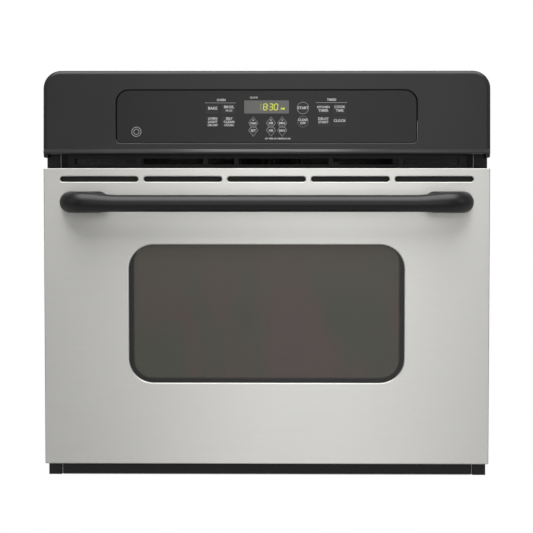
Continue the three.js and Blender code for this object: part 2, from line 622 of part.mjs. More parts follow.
basePan(cabinet);
bodySides(cabinet);
topCover(cabinet);
rearCover(cabinet);
frontFrame(cabinet);
sideTrims(cabinet);
bottomTrim(cabinet);
cavityWrapper(cabinet);
cavityBack(cabinet);
insulation(cabinet);
gasket(cabinet);
heatingElement(cabinet, "bake_element", BAKE_Z, [220, 110], [-180, 200]);
heatingElement(cabinet, "broil_element", BROIL_Z, [195, 90], [-165, 195]);
lamp(cabinet);
temperatureSensor(cabinet);
for (const [name, z] of Object.entries(RACK_HEIGHTS)) rack(cabinet, name, z);
controlPanel(controls);
electronics(controls);
ventGrille(cabinet);
airDuct(cabinet);
ventTube(cabinet);
blower(cabinet);
junctionBox(cabinet);
latch(cabinet);
doorSwitch(cabinet);
for (const [side, sign] of SIDES) hinge(cabinet, door, side, sign);
doorSkin(door);
doorGlasses(door);
doorCore(door);
doorLiner(door);
doorHandle(door);

export default oven;
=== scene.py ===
# %% [markdown]
# # A built-in wall oven
# This lesson dresses a measured model of a 30-inch wall oven. The measured model comes first
# and is never moved: it holds the steel body, the cavity, the hinges and the works. Over it
# come the pieces that need a finer surface than a measured solid has, such as the pressed
# stainless door, the swept handle and the printed glass. All lengths are metres, +Z is up,
# the front looks along -Y, and every new piece keeps its object at the origin.

# %% Load the measured model
import json
import math

import bmesh
import bpy
import numpy as np
from mathutils.geometry import delaunay_2d_cdt
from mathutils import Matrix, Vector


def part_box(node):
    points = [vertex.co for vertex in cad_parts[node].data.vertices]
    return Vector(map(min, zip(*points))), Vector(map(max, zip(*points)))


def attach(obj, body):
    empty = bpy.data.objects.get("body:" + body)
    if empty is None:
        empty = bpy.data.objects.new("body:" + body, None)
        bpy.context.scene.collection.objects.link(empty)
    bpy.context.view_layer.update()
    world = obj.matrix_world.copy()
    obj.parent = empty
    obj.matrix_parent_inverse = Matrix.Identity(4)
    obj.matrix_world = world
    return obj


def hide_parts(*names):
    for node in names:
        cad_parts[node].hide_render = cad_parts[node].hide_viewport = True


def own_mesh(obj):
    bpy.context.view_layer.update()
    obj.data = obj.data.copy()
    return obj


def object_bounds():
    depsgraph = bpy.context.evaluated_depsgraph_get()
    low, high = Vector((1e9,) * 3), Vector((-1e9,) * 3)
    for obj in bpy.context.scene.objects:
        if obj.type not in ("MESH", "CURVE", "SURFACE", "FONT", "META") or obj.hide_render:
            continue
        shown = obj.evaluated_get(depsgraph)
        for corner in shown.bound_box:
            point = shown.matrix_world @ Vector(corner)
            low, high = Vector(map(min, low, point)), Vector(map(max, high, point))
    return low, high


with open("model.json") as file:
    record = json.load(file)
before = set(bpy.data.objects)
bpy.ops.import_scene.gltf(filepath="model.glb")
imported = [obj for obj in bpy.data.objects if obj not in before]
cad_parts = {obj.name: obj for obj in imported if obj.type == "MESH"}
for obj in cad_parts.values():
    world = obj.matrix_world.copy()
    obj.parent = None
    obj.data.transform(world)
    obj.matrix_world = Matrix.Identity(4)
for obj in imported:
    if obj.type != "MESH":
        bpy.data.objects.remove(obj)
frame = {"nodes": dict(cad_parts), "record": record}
nodes = frame["nodes"]
measured_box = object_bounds()
mm = 0.001
measured_size = measured_box[1] - measured_box[0]
print(len(nodes), "measured pieces, size", [round(v, 4) for v in measured_size])

# %% [markdown]
# The camera stands three metres in front of the door, a little right of its middle and
# above it, and looks slightly down. A long lens keeps the sides parallel.

# %% Camera
view_from = np.array([0.042, -3.285, 0.513])
view_to = np.array([0.0, -0.285, 0.363])
lens = bpy.data.cameras.new("product_camera")
lens.lens = 119.66
lens.sensor_width = 36
camera = bpy.data.objects.new("product_camera", lens)
bpy.context.scene.collection.objects.link(camera)
bpy.context.scene.camera = camera
camera.location = view_from
aim = view_to - view_from
pitch = math.atan2(aim[2], math.hypot(aim[0], aim[1]))
turn = math.atan2(-aim[0], aim[1])
camera.rotation_euler = (math.pi / 2 + pitch, 0, turn)
distance = float(np.linalg.norm(aim))
print("camera", round(distance, 3), "m away, pitch", round(math.degrees(pitch), 2))

# %% [markdown]
# ## Finishes
# Every finish is worked out by nodes, from the piece's own coordinates in metres, so a
# pattern keeps its real size. One small class wraps a socket, so that the sums of a shader
# can be written as ordinary expressions, and a second one holds a material being built.

# %% A value inside a material
class Value:
    """A socket that Python can do sums with: each operator adds one Math node."""

    def __init__(self, finish, socket):
        self.finish, self.socket = finish, socket

    def sum(self, operation, *others):
        """One Math node of this kind, with this value as its first input."""
        inputs = dict(enumerate((self, *others)))
        return self.finish.node("Math", {"operation": operation}, inputs)

    def __add__(self, other):
        return self.sum("ADD", other)

    def __mul__(self, other):
        return self.sum("MULTIPLY", other)

    def __sub__(self, other):
        return self.sum("SUBTRACT", other)

    def __rsub__(self, other):
        return self.finish.node("Math", {"operation": "SUBTRACT"}, {0: other, 1: self})

    def __truediv__(self, other):
        return self.sum("DIVIDE", other)

    def __abs__(self):
        return self.sum("ABSOLUTE")

    __radd__ = __add__
    __rmul__ = __mul__

    def most(self, other):
        """The larger of the two values."""
        return self.sum("MAXIMUM", other)

    def ramp(self, low, high):
        """0 below low, 1 above high, and a smooth rise between."""
        limits = {"From Min": low, "From Max": high, "Value": self}
        return self.finish.node("MapRange", {"interpolation_type": "SMOOTHSTEP"}, limits)


class Finish:
    """A material being built: constants go on the shader, varying things come from nodes."""

    def __init__(self, name, constants):
        self.material = bpy.data.materials.new(name)
        self.material.use_nodes = True
        self.tree = self.material.node_tree
        self.shader = self.tree.nodes["Principled BSDF"]
        for socket, value in constants.items():
            self.shader.inputs[socket].default_value = value
        place = self.tree.nodes.new("ShaderNodeTexCoord")
        self.place = Value(self, place.outputs["Object"])

    def node(self, kind, settings, inputs, output=0):
        """Adds one node of any kind; its settings come first, then its sockets."""
        node = self.tree.nodes.new("ShaderNode" + kind)
        for key, value in settings.items():
            setattr(node, key, value)
        for key, value in inputs.items():
            if isinstance(value, Value):
                self.tree.links.new(value.socket, node.inputs[key])
            else:
                node.inputs[key].default_value = value
        return Value(self, node.outputs[output])

    def stretched(self, scale):
        """The piece's coordinates in metres, multiplied by a scale for each direction."""
        scales = {0: self.place, 1: scale}
        return self.node("VectorMath", {"operation": "MULTIPLY"}, scales)

    def noise(self, scale, detail=3.0, rough=0.5, place=None):
        """Soft random change from 0 to 1, with scale bumps in a metre."""
        inputs = {"Vector": place or self.place, "Scale": scale, "Detail": detail,
                  "Roughness": rough}
        return self.node("TexNoise", {}, inputs)

    def cells(self, scale, feature="F1", output="Distance"):
        """Random cells, scale of them in a metre: the distance to one, or its colour."""
        return self.node("TexVoronoi", {"feature": feature},
                         {"Vector": self.place, "Scale": scale}, output)

    def axes(self, place=None):
        """The three parts of a place or colour, each as a value."""
        parts = self.node("SeparateXYZ", {}, {0: place or self.place})
        return [Value(self, parts.socket.node.outputs[i]) for i in range(3)]

    def blend(self, amount, first, second):
        """Mixes two colours by an amount from 0 to 1."""
        settings = {"data_type": "RGBA"}
        return self.node("Mix", settings, {"Factor": amount, 6: first, 7: second}, 2)

    def feed(self, **sockets):
        """Links varying values to the shader; colour, roughness and the like."""
        names = {"color": "Base Color", "roughness": "Roughness", "metallic": "Metallic",
                 "coat": "Coat Weight", "alpha": "Alpha", "glow": "Emission Color",
                 "normal": "Normal"}
        for key, value in sockets.items():
            self.tree.links.new(value.socket, self.shader.inputs[names[key]])
        return self

    def bump(self, height, depth, strength=1.0):
        """Turns a height from 0 to 1 into a normal; depth is the real depth in metres."""
        inputs = {"Height": height, "Distance": depth, "Strength": strength}
        return self.feed(normal=self.node("Bump", {}, inputs))


def grey(level, warm=0.0):
    """A colour from its screen brightness, 0 to 255, a little warmer or cooler."""
    light = (level / 255) ** 2.2
    return (light * (1 + warm * 0.2), light, light * (1 - warm), 1.0)


print("Value and Finish are ready")

# %% [markdown]
# The door is brushed stainless steel. The grain runs across the door, so the noise is
# stretched a hundred times more along X than along Z. It changes the roughness a little and
# raises shallow ridges. A second, finer one is the wiping marks that a cloth leaves, and a
# broad one the slight unevenness of rolled sheet. Anisotropy alone would smear the light
# the same way without a single visible line, so the two are used together.
# Paint is made by one function, because the seven painted finishes differ only in tone,
# gloss and grain.

# %% Brushed stainless steel
def brushed_steel():
    """Grain and fine lines run along X; both shade the colour, the gloss and the ridges."""
    steel = Finish("brushed_stainless", {"Metallic": 1.0, "Anisotropic": 0.8,
                                         "Anisotropic Rotation": 0.25})
    grain = steel.noise(1.0, 5.0, 0.62, steel.stretched((22, 900, 2600)))
    fine = steel.noise(1.0, 2.0, 0.5, steel.stretched((90, 3000, 7000)))
    cloudy = steel.noise(5.0, 2.0, 0.5)
    streak = grain * 0.7 + fine * 0.3
    steel.feed(color=steel.blend(streak.ramp(0.3, 0.7), grey(207, 0.04), grey(213, 0.036)),
               roughness=0.34 + streak * 0.1 + cloudy * 0.04)
    steel.bump(streak, 0.00003, 0.35)
    return steel.material


def coated_metal(name, low, high, roughness, pimple, depth):
    """Paint baked on steel: fine pimples of the spray, and a soft change of gloss."""
    paint = Finish(name, {"IOR": 1.5})
    pimples = paint.noise(pimple, 2.0)
    cloudy = paint.noise(7.0, 3.0)
    paint.feed(color=paint.blend(cloudy.ramp(0.3, 0.7), grey(low), grey(high)),
               roughness=(roughness - 0.05) + pimples * 0.08 + cloudy * 0.05)
    paint.bump(pimples, depth, 0.6)
    return paint.material


# Each paint: its darkest and lightest grey, its roughness, and the size and depth of its grain.
STEEL = brushed_steel()
PANEL = coated_metal("panel_paint", 32, 36, 0.34, 1400.0, 0.00002)
SATIN = coated_metal("handle_paint", 12, 16, 0.36, 2200.0, 0.00001)
PAD = coated_metal("handle_foot_paint", 20, 24, 0.36, 2200.0, 0.00001)
# Painted highlight: the bead under the panel gets a paint about twice as light as the panel's.
LIP_HIGHLIGHT_PAINT = coated_metal("panel_lip_highlight_paint", 64, 68, 0.28, 1400.0, 0.00001)
# Painted highlight: a light grey for the thread along the lower edge of the recess.
EDGE_HIGHLIGHT_PAINT = coated_metal("recess_edge_highlight_paint", 96, 104, 0.32, 1400.0, 0.00001)
# Painted shade: near black and dull, for the strip of front frame that lies in shadow.
FRAME_SHADE_BLACK = coated_metal("front_frame_shade_paint", 3, 6, 0.62, 260.0, 0.00005)
TRIM = coated_metal("black_trim_paint", 14, 18, 0.5, 1100.0, 0.00004)
print(len(bpy.data.materials), "materials: steel and its paints")

# %% [markdown]
# Zinc-coated steel has spangle: flat crystals a few millimetres wide, each with its own
# brightness. Cells give each crystal one value, and faint dirt dulls some of them.
# Porcelain enamel is glassy and dark, with tiny pale specks that hide crumbs. Wool, wire,
# heating sheath, seal, plastic, ceramic, circuit board and glass follow, each with the one
# or two patterns that tell it apart at arm's length.

# %% Zinc, porcelain and the rest
def spangled_zinc():
    """One brightness for each crystal, with faint rolling marks and drifting dirt."""
    zinc = Finish("zinc_coated_steel", {})
    crystal = zinc.cells(190.0, output="Color")
    tone = zinc.axes(crystal)[0]
    dirt = zinc.noise(9.0, 4.0, 0.6)
    rolled = zinc.noise(1.0, 2.0, 0.5, zinc.stretched((500, 30, 500)))
    bright = (tone * 0.6 + rolled * 0.2 + dirt * 0.3).ramp(0.2, 0.9)
    zinc.feed(color=zinc.blend(bright, grey(163), grey(181, 0.01)),
              roughness=0.4 + tone * 0.08 + dirt * 0.1, metallic=0.94 - dirt * 0.14)
    zinc.bump(rolled * 0.5 + tone * 0.5, 0.00003, 0.4)
    return zinc.material


def speckled_enamel():
    """Pale specks in patches on a dark glassy coat that ripples like orange peel."""
    enamel = Finish("porcelain_enamel", {"IOR": 1.52, "Coat Roughness": 0.05})
    speck = enamel.cells(420.0)
    orange_peel = enamel.noise(160.0, 2.0)
    dots = 1 - speck.ramp(0.12, 0.2)
    here = enamel.noise(60.0, 1.0).ramp(0.45, 0.6)
    enamel.feed(color=enamel.blend(dots * here, (0.016, 0.019, 0.026, 1), (0.3, 0.34, 0.4, 1)),
                roughness=0.14 + orange_peel * 0.12, coat=0.6 + orange_peel * 0.3)
    enamel.bump(orange_peel, 0.00006, 0.5)
    return enamel.material


def mineral_wool():
    """Fibres drawn out along X crossed by fibres along Z, gathered into clumps."""
    wool = Finish("mineral_wool", {"Sheen Weight": 0.3, "Sheen Roughness": 0.6})
    fibre = wool.noise(1.0, 5.0, 0.7, wool.stretched((900, 260, 260)))
    across = wool.noise(1.0, 5.0, 0.7, wool.stretched((240, 240, 850)))
    tangle = fibre.most(across)
    clump = wool.noise(40.0, 3.0)
    wool.feed(color=wool.blend(tangle.ramp(0.35, 0.75), (0.30, 0.24, 0.11, 1),
                               (0.74, 0.66, 0.42, 1)), roughness=0.86 + clump * 0.12)
    wool.bump(tangle * 0.6 + clump * 0.4, 0.0015, 0.8)
    return wool.material


def bright_wire():
    """Nickel-plated wire: bright, with faint drawing marks and a warm heat tint in patches."""
    wire = Finish("plated_wire", {"Metallic": 1.0})
    marks = wire.noise(700.0, 3.0)
    tint = wire.noise(14.0, 2.0).ramp(0.45, 0.75)
    wire.feed(color=wire.blend(tint, grey(205), (0.62, 0.55, 0.42, 1)),
              roughness=0.16 + marks * 0.16)
    wire.bump(marks, 0.00003, 0.3)
    return wire.material


def heated_sheath():
    """An alloy sheath that has been red hot: dull grey-brown oxide in drifting patches."""
    sheath = Finish("element_sheath", {"Metallic": 0.55})
    oxide = sheath.noise(45.0, 5.0, 0.65)
    grit = sheath.noise(1500.0, 2.0)
    sheath.feed(color=sheath.blend(oxide.ramp(0.35, 0.7), (0.035, 0.032, 0.03, 1),
                                   (0.13, 0.105, 0.085, 1)), roughness=0.5 + grit * 0.2)
    sheath.bump(grit, 0.00004, 0.5)
    return sheath.material


def woven_seal():
    """Woven glass fibre: two crossing sets of stripes make the plait."""
    seal = Finish("woven_seal", {"Sheen Weight": 0.2})
    x, y, z = seal.axes()
    along = seal.node("Math", {"operation": "SINE"}, {0: (x + z) * 2100.0})
    across = seal.node("Math", {"operation": "SINE"}, {0: (x - z + y * 2.0) * 2100.0})
    plait = along.most(across) * 0.5 + 0.5
    soot = seal.noise(30.0, 4.0)
    seal.feed(color=seal.blend(plait * 0.7 + soot * 0.3, (0.06, 0.055, 0.05, 1),
                               (0.27, 0.26, 0.24, 1)), roughness=0.8 + soot * 0.15)
    seal.bump(plait, 0.0004, 0.7)
    return seal.material


def moulded(name, low, high, roughness):
    """Moulded plastic: an even spark-eroded grain, and a few dull rubbed places."""
    plastic = Finish(name, {"IOR": 1.46})
    grain = plastic.cells(700.0)
    rubbed = plastic.noise(22.0, 3.0)
    plastic.feed(color=plastic.blend(rubbed.ramp(0.35, 0.7), grey(low), grey(high)),
                 roughness=roughness + grain * 0.12 - rubbed * 0.1)
    plastic.bump(grain, 0.00005, 0.4)
    return plastic.material


def glazed_ceramic():
    """Off-white glaze: cloudy in colour and gloss, with fine pores."""
    ceramic = Finish("glazed_ceramic", {"IOR": 1.55})
    pores = ceramic.cells(900.0)
    cloudy = ceramic.noise(50.0, 3.0)
    ceramic.feed(color=ceramic.blend(cloudy, (0.70, 0.67, 0.60, 1), (0.82, 0.80, 0.74, 1)),
                 roughness=0.25 + cloudy * 0.2)
    ceramic.bump(pores, 0.00003, 0.3)
    return ceramic.material


def circuit_board():
    """Green solder mask over copper tracks: tracks show as slightly lighter lines."""
    board = Finish("circuit_board", {"IOR": 1.5})
    tracks = board.cells(190.0, "DISTANCE_TO_EDGE").ramp(0.02, 0.07)
    mask = board.noise(500.0, 2.0)
    board.feed(color=board.blend(tracks, (0.045, 0.22, 0.07, 1), (0.018, 0.10, 0.035, 1)),
               roughness=0.32 + mask * 0.14)
    board.bump(1 - tracks, 0.00006, 0.6)
    return board.material


def clear_glass():
    """A clear pane, mostly see-through, with faint wiping smears on its gloss."""
    pane = Finish("clear_glass", {"IOR": 1.5, "Base Color": (0.10, 0.125, 0.115, 1)})
    smear = pane.noise(1.0, 4.0, 0.6, pane.stretched((12, 12, 30)))
    pane.feed(roughness=0.02 + smear * 0.08, alpha=0.1 + smear * 0.05)
    return pane.material


ZINC = spangled_zinc()
ENAMEL = speckled_enamel()
WOOL = mineral_wool()
WIRE = bright_wire()
SHEATH = heated_sheath()
SEAL = woven_seal()
PLASTIC = moulded("black_plastic", 26, 32, 0.42)
CERAMIC = glazed_ceramic()
BOARD = circuit_board()
CLEAR = clear_glass()
print(len(bpy.data.materials), "materials so far")

# %% [markdown]
# ## Surfaces
# A new piece is a grid of points worked out with numpy: rings of points, one ring after
# another, joined by four-sided faces. The same helper makes a rolled sheet edge, a bar that
# follows a path and a turned lamp glass. A flat field with openings in it could be cut out
# of a solid, but filling it by a triangulation keeps every outline exactly as it was drawn.

# %% Rings to mesh
def rounded_outline(x, z, corners, steps=8):
    """Outline of a rectangle whose corners are quarter circles, anticlockwise from the
    front. corners holds four radii: lower right, upper right, upper left, lower left."""
    (x0, x1), (z0, z1) = x, z
    centres = [(x1, z0, 1, -1), (x1, z1, 1, 1), (x0, z1, -1, 1), (x0, z0, -1, -1)]
    points = []
    for i, ((cx, cz, sx, sz), r) in enumerate(zip(centres, corners)):
        angle = np.linspace(0, np.pi / 2, steps + 1) + (i - 1) * np.pi / 2
        points.append(np.stack([cx - sx * r + r * np.cos(angle),
                                cz - sz * r + r * np.sin(angle)], 1))
    return np.concatenate(points)


def at_depth(outline, y):
    """Puts a flat outline (x, z) at depth y."""
    return np.insert(outline, 1, y, axis=1)


def ring_faces(rings, count, closed=True, start=0):
    """Four-sided faces between neighbouring rings of count points each."""
    i, j = np.meshgrid(np.arange(rings - 1), np.arange(count if closed else count - 1),
                       indexing="ij")
    k = (j + 1) % count
    corners = [i * count + j, i * count + k, (i + 1) * count + k, (i + 1) * count + j]
    return (np.stack(corners, -1).reshape(-1, 4) + start).tolist()


def closed_rings(rings):
    """Rings joined into a wall, closed by one face in front and one behind."""
    count, n = rings.shape[:2]
    behind = np.arange(n)[::-1] + n * (count - 1)
    return rings.reshape(-1, 3), [list(range(n)), behind.tolist(), *ring_faces(count, n)]


def prism(section, x0, x1):
    """A section (y, z) carried straight from x0 to x1 and closed at both ends."""
    return closed_rings(np.stack([np.insert(section, 0, x, axis=1) for x in (x0, x1)]))


def inside(points, outline):
    """True for each point that lies inside a closed outline, by counting crossings."""
    a, b = outline, np.roll(outline, -1, axis=0)
    px, pz = points[:, :1], points[:, 1:]
    spans = (a[:, 1] > pz) != (b[:, 1] > pz)
    rise = np.where(b[:, 1] == a[:, 1], 1, b[:, 1] - a[:, 1])
    crossing = a[:, 0] + (pz - a[:, 1]) / rise * (b[:, 0] - a[:, 0])
    return (spans & (px < crossing)).sum(1) % 2 == 1


def field(outer, holes):
    """Triangles that fill an outline and leave its holes open: (points x, z; faces)."""
    loops = [outer, *holes]
    points = np.concatenate(loops)
    edges, start = [], 0
    for loop in loops:
        ids = np.arange(len(loop)) + start
        edges += np.stack([ids, np.roll(ids, -1)], 1).tolist()
        start += len(loop)
    made = delaunay_2d_cdt([tuple(p) for p in points], edges, [], 1, 1e-7)
    found, triangles = np.array(made[0]), np.array(made[2])
    middle = found[triangles].mean(1)
    keep = inside(middle, outer)
    for hole in holes:
        keep &= ~inside(middle, hole)
    return found, triangles[keep]


def mesh_object(name, points, faces, material, body, slot, smooth=True):
    """Makes the piece, hands it its finish and lets it ride on its body."""
    mesh = bpy.data.meshes.new(name)
    mesh.from_pydata(np.asarray(points, float).tolist(), [], faces)
    mesh.validate()
    mesh.materials.append(material)
    mesh.polygons.foreach_set("use_smooth", np.full(len(mesh.polygons), smooth))
    piece = bpy.data.objects.new(name, mesh)
    bpy.context.scene.collection.objects.link(piece)
    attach(piece, body)
    return piece


def merged(parts):
    """Joins several (points, faces) pairs into one."""
    points, faces, start = [], [], 0
    for p, f in parts:
        points.append(np.asarray(p, float))
        faces += [[v + start for v in face] for face in f]
        start += len(p)
    return np.concatenate(points), faces


def weld(piece, distance=0.00001):
    """Merges doubled points and makes every face point outwards."""
    work = bmesh.new()
    work.from_mesh(piece.data)
    bmesh.ops.remove_doubles(work, verts=work.verts, dist=distance)
    bmesh.ops.recalc_face_normals(work, faces=work.faces)
    work.to_mesh(piece.data)
    work.free()
    return piece


def solidify(piece, thickness):
    """Gives a sheet its wall, behind the face that was drawn."""
    wall = piece.modifiers.new("wall", "SOLIDIFY")
    wall.thickness = thickness
    wall.offset = -1.0
    wall.use_even_offset = True
    return piece


def soften(piece, width):
    """A small bevel on sharp edges, as real sheet and castings have."""
    edge = piece.modifiers.new("edge", "BEVEL")
    edge.width = width
    edge.segments = 2
    edge.limit_method = "ANGLE"
    edge.angle_limit = math.radians(35)
    edge.harden_normals = True
    return piece


# %% [markdown]
# A rod, wire or tube is a circle carried along a path. The circle has to stay square to the
# path without twisting, so each ring starts from the one before, turned by no more than the
# path itself turns.

# %% Circle along a path
def tube(path, radius, sides=12, closed=False):
    """Ring k is path[k] plus radius[k] times (cos a * n + sin a * b), where n and b are
    carried along the path by projecting the last n off the new direction."""
    path = np.asarray(path, float)
    radius = np.broadcast_to(radius, len(path))
    if closed:
        way = np.roll(path, -1, 0) - np.roll(path, 1, 0)
    else:
        way = np.gradient(path, axis=0)
    way /= np.linalg.norm(way, axis=1, keepdims=True)
    side = np.cross(way[0], [0.31, 0.53, 0.79])
    normals = []
    for direction in way:
        side = side - direction * (side @ direction)
        side = side / np.linalg.norm(side)
        normals.append(side)
    normals = np.array(normals)
    others = np.cross(way, normals)
    angle = np.linspace(0, 2 * np.pi, sides, endpoint=False)
    rings = (path[:, None] + radius[:, None, None]
             * (np.cos(angle)[None, :, None] * normals[:, None]
                + np.sin(angle)[None, :, None] * others[:, None]))
    points = rings.reshape(-1, 3)
    faces = ring_faces(len(path), sides)
    if closed:
        last = (len(path) - 1) * sides
        turn = np.arange(sides)
        shift = int(np.argmin(np.linalg.norm(rings[-1] - rings[0, 0], axis=1)))
        ends = (turn + shift) % sides
        nexts = (turn + 1) % sides
        faces += np.stack([last + ends, last + ends[nexts], nexts, turn], 1).tolist()
    else:
        faces.append(list(range(sides))[::-1])
        faces.append([(len(path) - 1) * sides + i for i in range(sides)])
    return points, faces


def smooth_path(corners, bend, steps=6):
    """Straight runs joined by arcs: each corner is cut by a curve that leaves and meets
    the runs a distance bend away, (1-t)^2 A + 2t(1-t) C + t^2 B."""
    corners = np.asarray(corners, float)
    points = [corners[:1]]
    t = np.linspace(0, 1, steps + 1)[:, None]
    for before, corner, after in zip(corners, corners[1:], corners[2:]):
        a = corner + (before - corner) / np.linalg.norm(before - corner) * bend
        b = corner + (after - corner) / np.linalg.norm(after - corner) * bend
        points.append((1 - t) ** 2 * a + 2 * t * (1 - t) * corner + t ** 2 * b)
    points.append(corners[-1:])
    return np.concatenate(points)


trial = tube([[0, 0, 0], [0, 0, 1], [0, 1, 1]], 0.1)
print("a tube of three rings has", len(trial[0]), "points and", len(trial[1]), "faces")

# %% [markdown]
# ## The door
# The door's face is one pressed sheet of stainless steel. Its edges are folded back, the
# window opening and the five air slots have their rims rolled inwards, and those rolled rims
# catch the light as thin bright lines. A plain cut edge would look like card. So each
# outline is carried through a quarter circle: from the flat face, round, to straight back.

# %% Pressed door sheet
door_low, door_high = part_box("door_skin")
FACE = door_low.y
TIGHTEST = 0.2 * mm
WINDOW_X = 233.3 * mm
WINDOW_Z = (door_low.z + 138.7 * mm, door_low.z + 373.8 * mm)
WINDOW_R = 41 * mm
SLOT_Z = door_low.z + 484.9 * mm
SLOT_PITCH, SLOT_LONG, SLOT_HIGH = 141.8 * mm, 132 * mm, 9 * mm


def rolled(x, z, corners, radius, y, straight, inwards=1, steps=5, arc=5):
    """Rings of a rolled edge. With t from 0 to a quarter turn the outline grows by
    radius * (1 - sin t) past its opening and sits radius * (1 - cos t) behind the face."""
    t = np.linspace(0, np.pi / 2, arc + 1)
    rings = []
    for grow, back in zip(radius * (1 - np.sin(t)), radius * (1 - np.cos(t))):
        g = grow * inwards
        outline = rounded_outline((x[0] - g, x[1] + g), (z[0] - g, z[1] + g),
                                  [max(c + g, TIGHTEST) for c in corners], steps)
        rings.append(at_depth(outline, y + back))
    rings.append(rings[-1] + [0, straight, 0])
    return np.array(rings)


def face_front(piece):
    """Turns a sheet's faces to the front, and keeps its flat field flat-shaded, so that
    only the rolled rims are smoothed."""
    mesh = piece.data
    normal = np.empty(len(mesh.polygons) * 3)
    area = np.empty(len(mesh.polygons))
    mesh.polygons.foreach_get("normal", normal)
    mesh.polygons.foreach_get("area", area)
    facing = normal.reshape(-1, 3)[:, 1]
    mesh.polygons.foreach_set("use_smooth", np.abs(facing) < 0.9999)
    if (facing * area).sum() > 0:
        mesh.flip_normals()


def pressed_face(name, edge, openings, material, body, slot, wall, edge_return):
    """A flat field, with a rolled outer edge and rolled rims round its openings."""
    outer = rolled(edge["x"], edge["z"], edge["corners"], edge["radius"], edge["y"],
                   edge_return, inwards=-1, steps=edge.get("steps", 8))
    lowest = outer[-1, :, 2] < edge["z"][0] + 0.1 * mm
    outer[-1, lowest, 1] = edge["y"] + edge["low_return"]
    rims = [rolled(o["x"], o["z"], o["corners"], o["radius"], edge["y"], o["straight"],
                   steps=o.get("steps", 10)) for o in openings]
    flat, triangles = field(outer[0][:, [0, 2]], [r[0][:, [0, 2]] for r in rims])
    parts = [(at_depth(flat, edge["y"]), triangles.tolist())]
    for rings in [outer, *rims]:
        parts.append((rings.reshape(-1, 3), ring_faces(len(rings), rings.shape[1])))
    points, faces = merged(parts)
    piece = weld(mesh_object(name, points, faces, material, body, slot))
    face_front(piece)
    return solidify(piece, wall)


slot_columns = (np.arange(5) - 2) * SLOT_PITCH
door_openings = [{"x": (x - SLOT_LONG / 2, x + SLOT_LONG / 2),
                  "z": (SLOT_Z - SLOT_HIGH / 2, SLOT_Z + SLOT_HIGH / 2),
                  "corners": [SLOT_HIGH / 2 - 0.1 * mm] * 4, "radius": 1.6 * mm,
                  "straight": 2.5 * mm} for x in slot_columns]
door_openings.append({"x": (-WINDOW_X, WINDOW_X), "z": WINDOW_Z, "corners": [WINDOW_R] * 4,
                      "radius": 2.2 * mm, "straight": 0.6 * mm, "steps": 14})
door_edge = {"x": (door_low.x, door_high.x), "z": (door_low.z, door_high.z),
             "corners": [1.6 * mm] * 4, "radius": 1.5 * mm, "y": FACE, "steps": 4,
             "low_return": 7.5 * mm}
door_sheet = pressed_face("door_sheet", door_edge, door_openings, STEEL, "door",
                          "stainless_door", 0.9 * mm, 21 * mm)
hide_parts("door_skin")
print("door", len(door_sheet.data.polygons), "faces")

# %% [markdown]
# ## The handle
# The handle is one swept bar. It swells towards each end, bends back to the door and stands
# on a thin foot. Measured pieces would give a rod and two blocks; here one path does it all:
# straight, a quarter circle, straight, with a radius that grows smoothly into the bend.

# %% Handle
bar_low, bar_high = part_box("handle_bar")
foot_low, foot_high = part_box("handle_mount_right")
BAR_R = (bar_high.z - bar_low.z) / 2
BAR_Z = (bar_high.z + bar_low.z) / 2
FOOT_R = (foot_high.z - foot_low.z) / 2
FOOT_Z = (foot_high.z + foot_low.z) / 2
POST_X = foot_high.x - FOOT_R
PAD_FRONT = FACE - 5.5 * mm
BEND = 30 * mm
RUN_RINGS, BEND_RINGS = 24, 14


def handle_half():
    """Points and radii of one half, from the middle to the foot: the centre line keeps the
    front of the bar in one plane, so it lies a radius behind that plane."""
    run = np.linspace(0, POST_X - BEND, RUN_RINGS)
    angle = np.linspace(0, np.pi / 2, BEND_RINGS + 1)[1:]
    x = np.concatenate([run, POST_X - BEND + BEND * np.sin(angle), [POST_X]])
    swell = np.clip((x - (foot_low.x - 16 * mm)) / (POST_X - 6 * mm - foot_low.x), 0, 1)
    swell = swell ** 2 * (3 - 2 * swell)
    radius = BAR_R + (FOOT_R - 0.4 * mm - BAR_R) * swell
    front = bar_low.y + 0.2 * mm + radius
    y = front.copy()
    bent = slice(RUN_RINGS, RUN_RINGS + BEND_RINGS)
    y[-1] = PAD_FRONT + 1.0 * mm
    before_foot = y[-1] - 0.2 * mm * np.arange(BEND_RINGS, 0, -1)
    y[bent] = np.minimum(front[bent] + BEND * (1 - np.cos(angle)), before_foot)
    return np.stack([x, y, BAR_Z + (FOOT_Z - BAR_Z) * swell], 1), radius


half_path, half_radius = handle_half()
mirror = half_path[:0:-1] * [-1, 1, 1]
bar_path = np.concatenate([mirror, half_path])
bar_radius = np.concatenate([half_radius[:0:-1], half_radius])
handle = weld(mesh_object("door_handle", *tube(bar_path, bar_radius, 36), SATIN, "door",
                          "satin_black"))
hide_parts("handle_bar", "handle_mount_left", "handle_mount_right")


def stadium_pad(sign):
    """The foot: a flat stadium whose front edge is a small quarter circle."""
    x = sorted([sign * foot_low.x, sign * foot_high.x])
    z = (foot_low.z, foot_high.z)
    return closed_rings(rolled(x, z, [FOOT_R - 0.1 * mm] * 4, 1.8 * mm, PAD_FRONT, 3.4 * mm,
                               inwards=-1, steps=12))


for side, sign in (("left", -1), ("right", 1)):
    pad = weld(mesh_object(f"handle_foot_{side}", *stadium_pad(sign), PAD, "door",
                           "satin_black", smooth=False))
    soften(pad, 0.3 * mm)
reach = float(bar_path[:, 0].max() + bar_radius.max())
print("handle reaches", round(reach, 4), "m from the middle")

# %% [markdown]
# ## The control panel
# The panel is a painted pressing with a large radius at its two top corners, an edge that
# rolls back all round and a tighter lip along the bottom. The glass sits in a shallow recess,
# and the groove round it shows as a dark line.

# %% Panel shell
panel_low, panel_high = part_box("control_panel")
glass_low, glass_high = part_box("panel_glass")
LIP = 1.5 * mm
ROLL = 7.0 * mm
TOP_CORNER, LOW_CORNER, LEAST_CORNER = 30 * mm, 4 * mm, 0.4 * mm


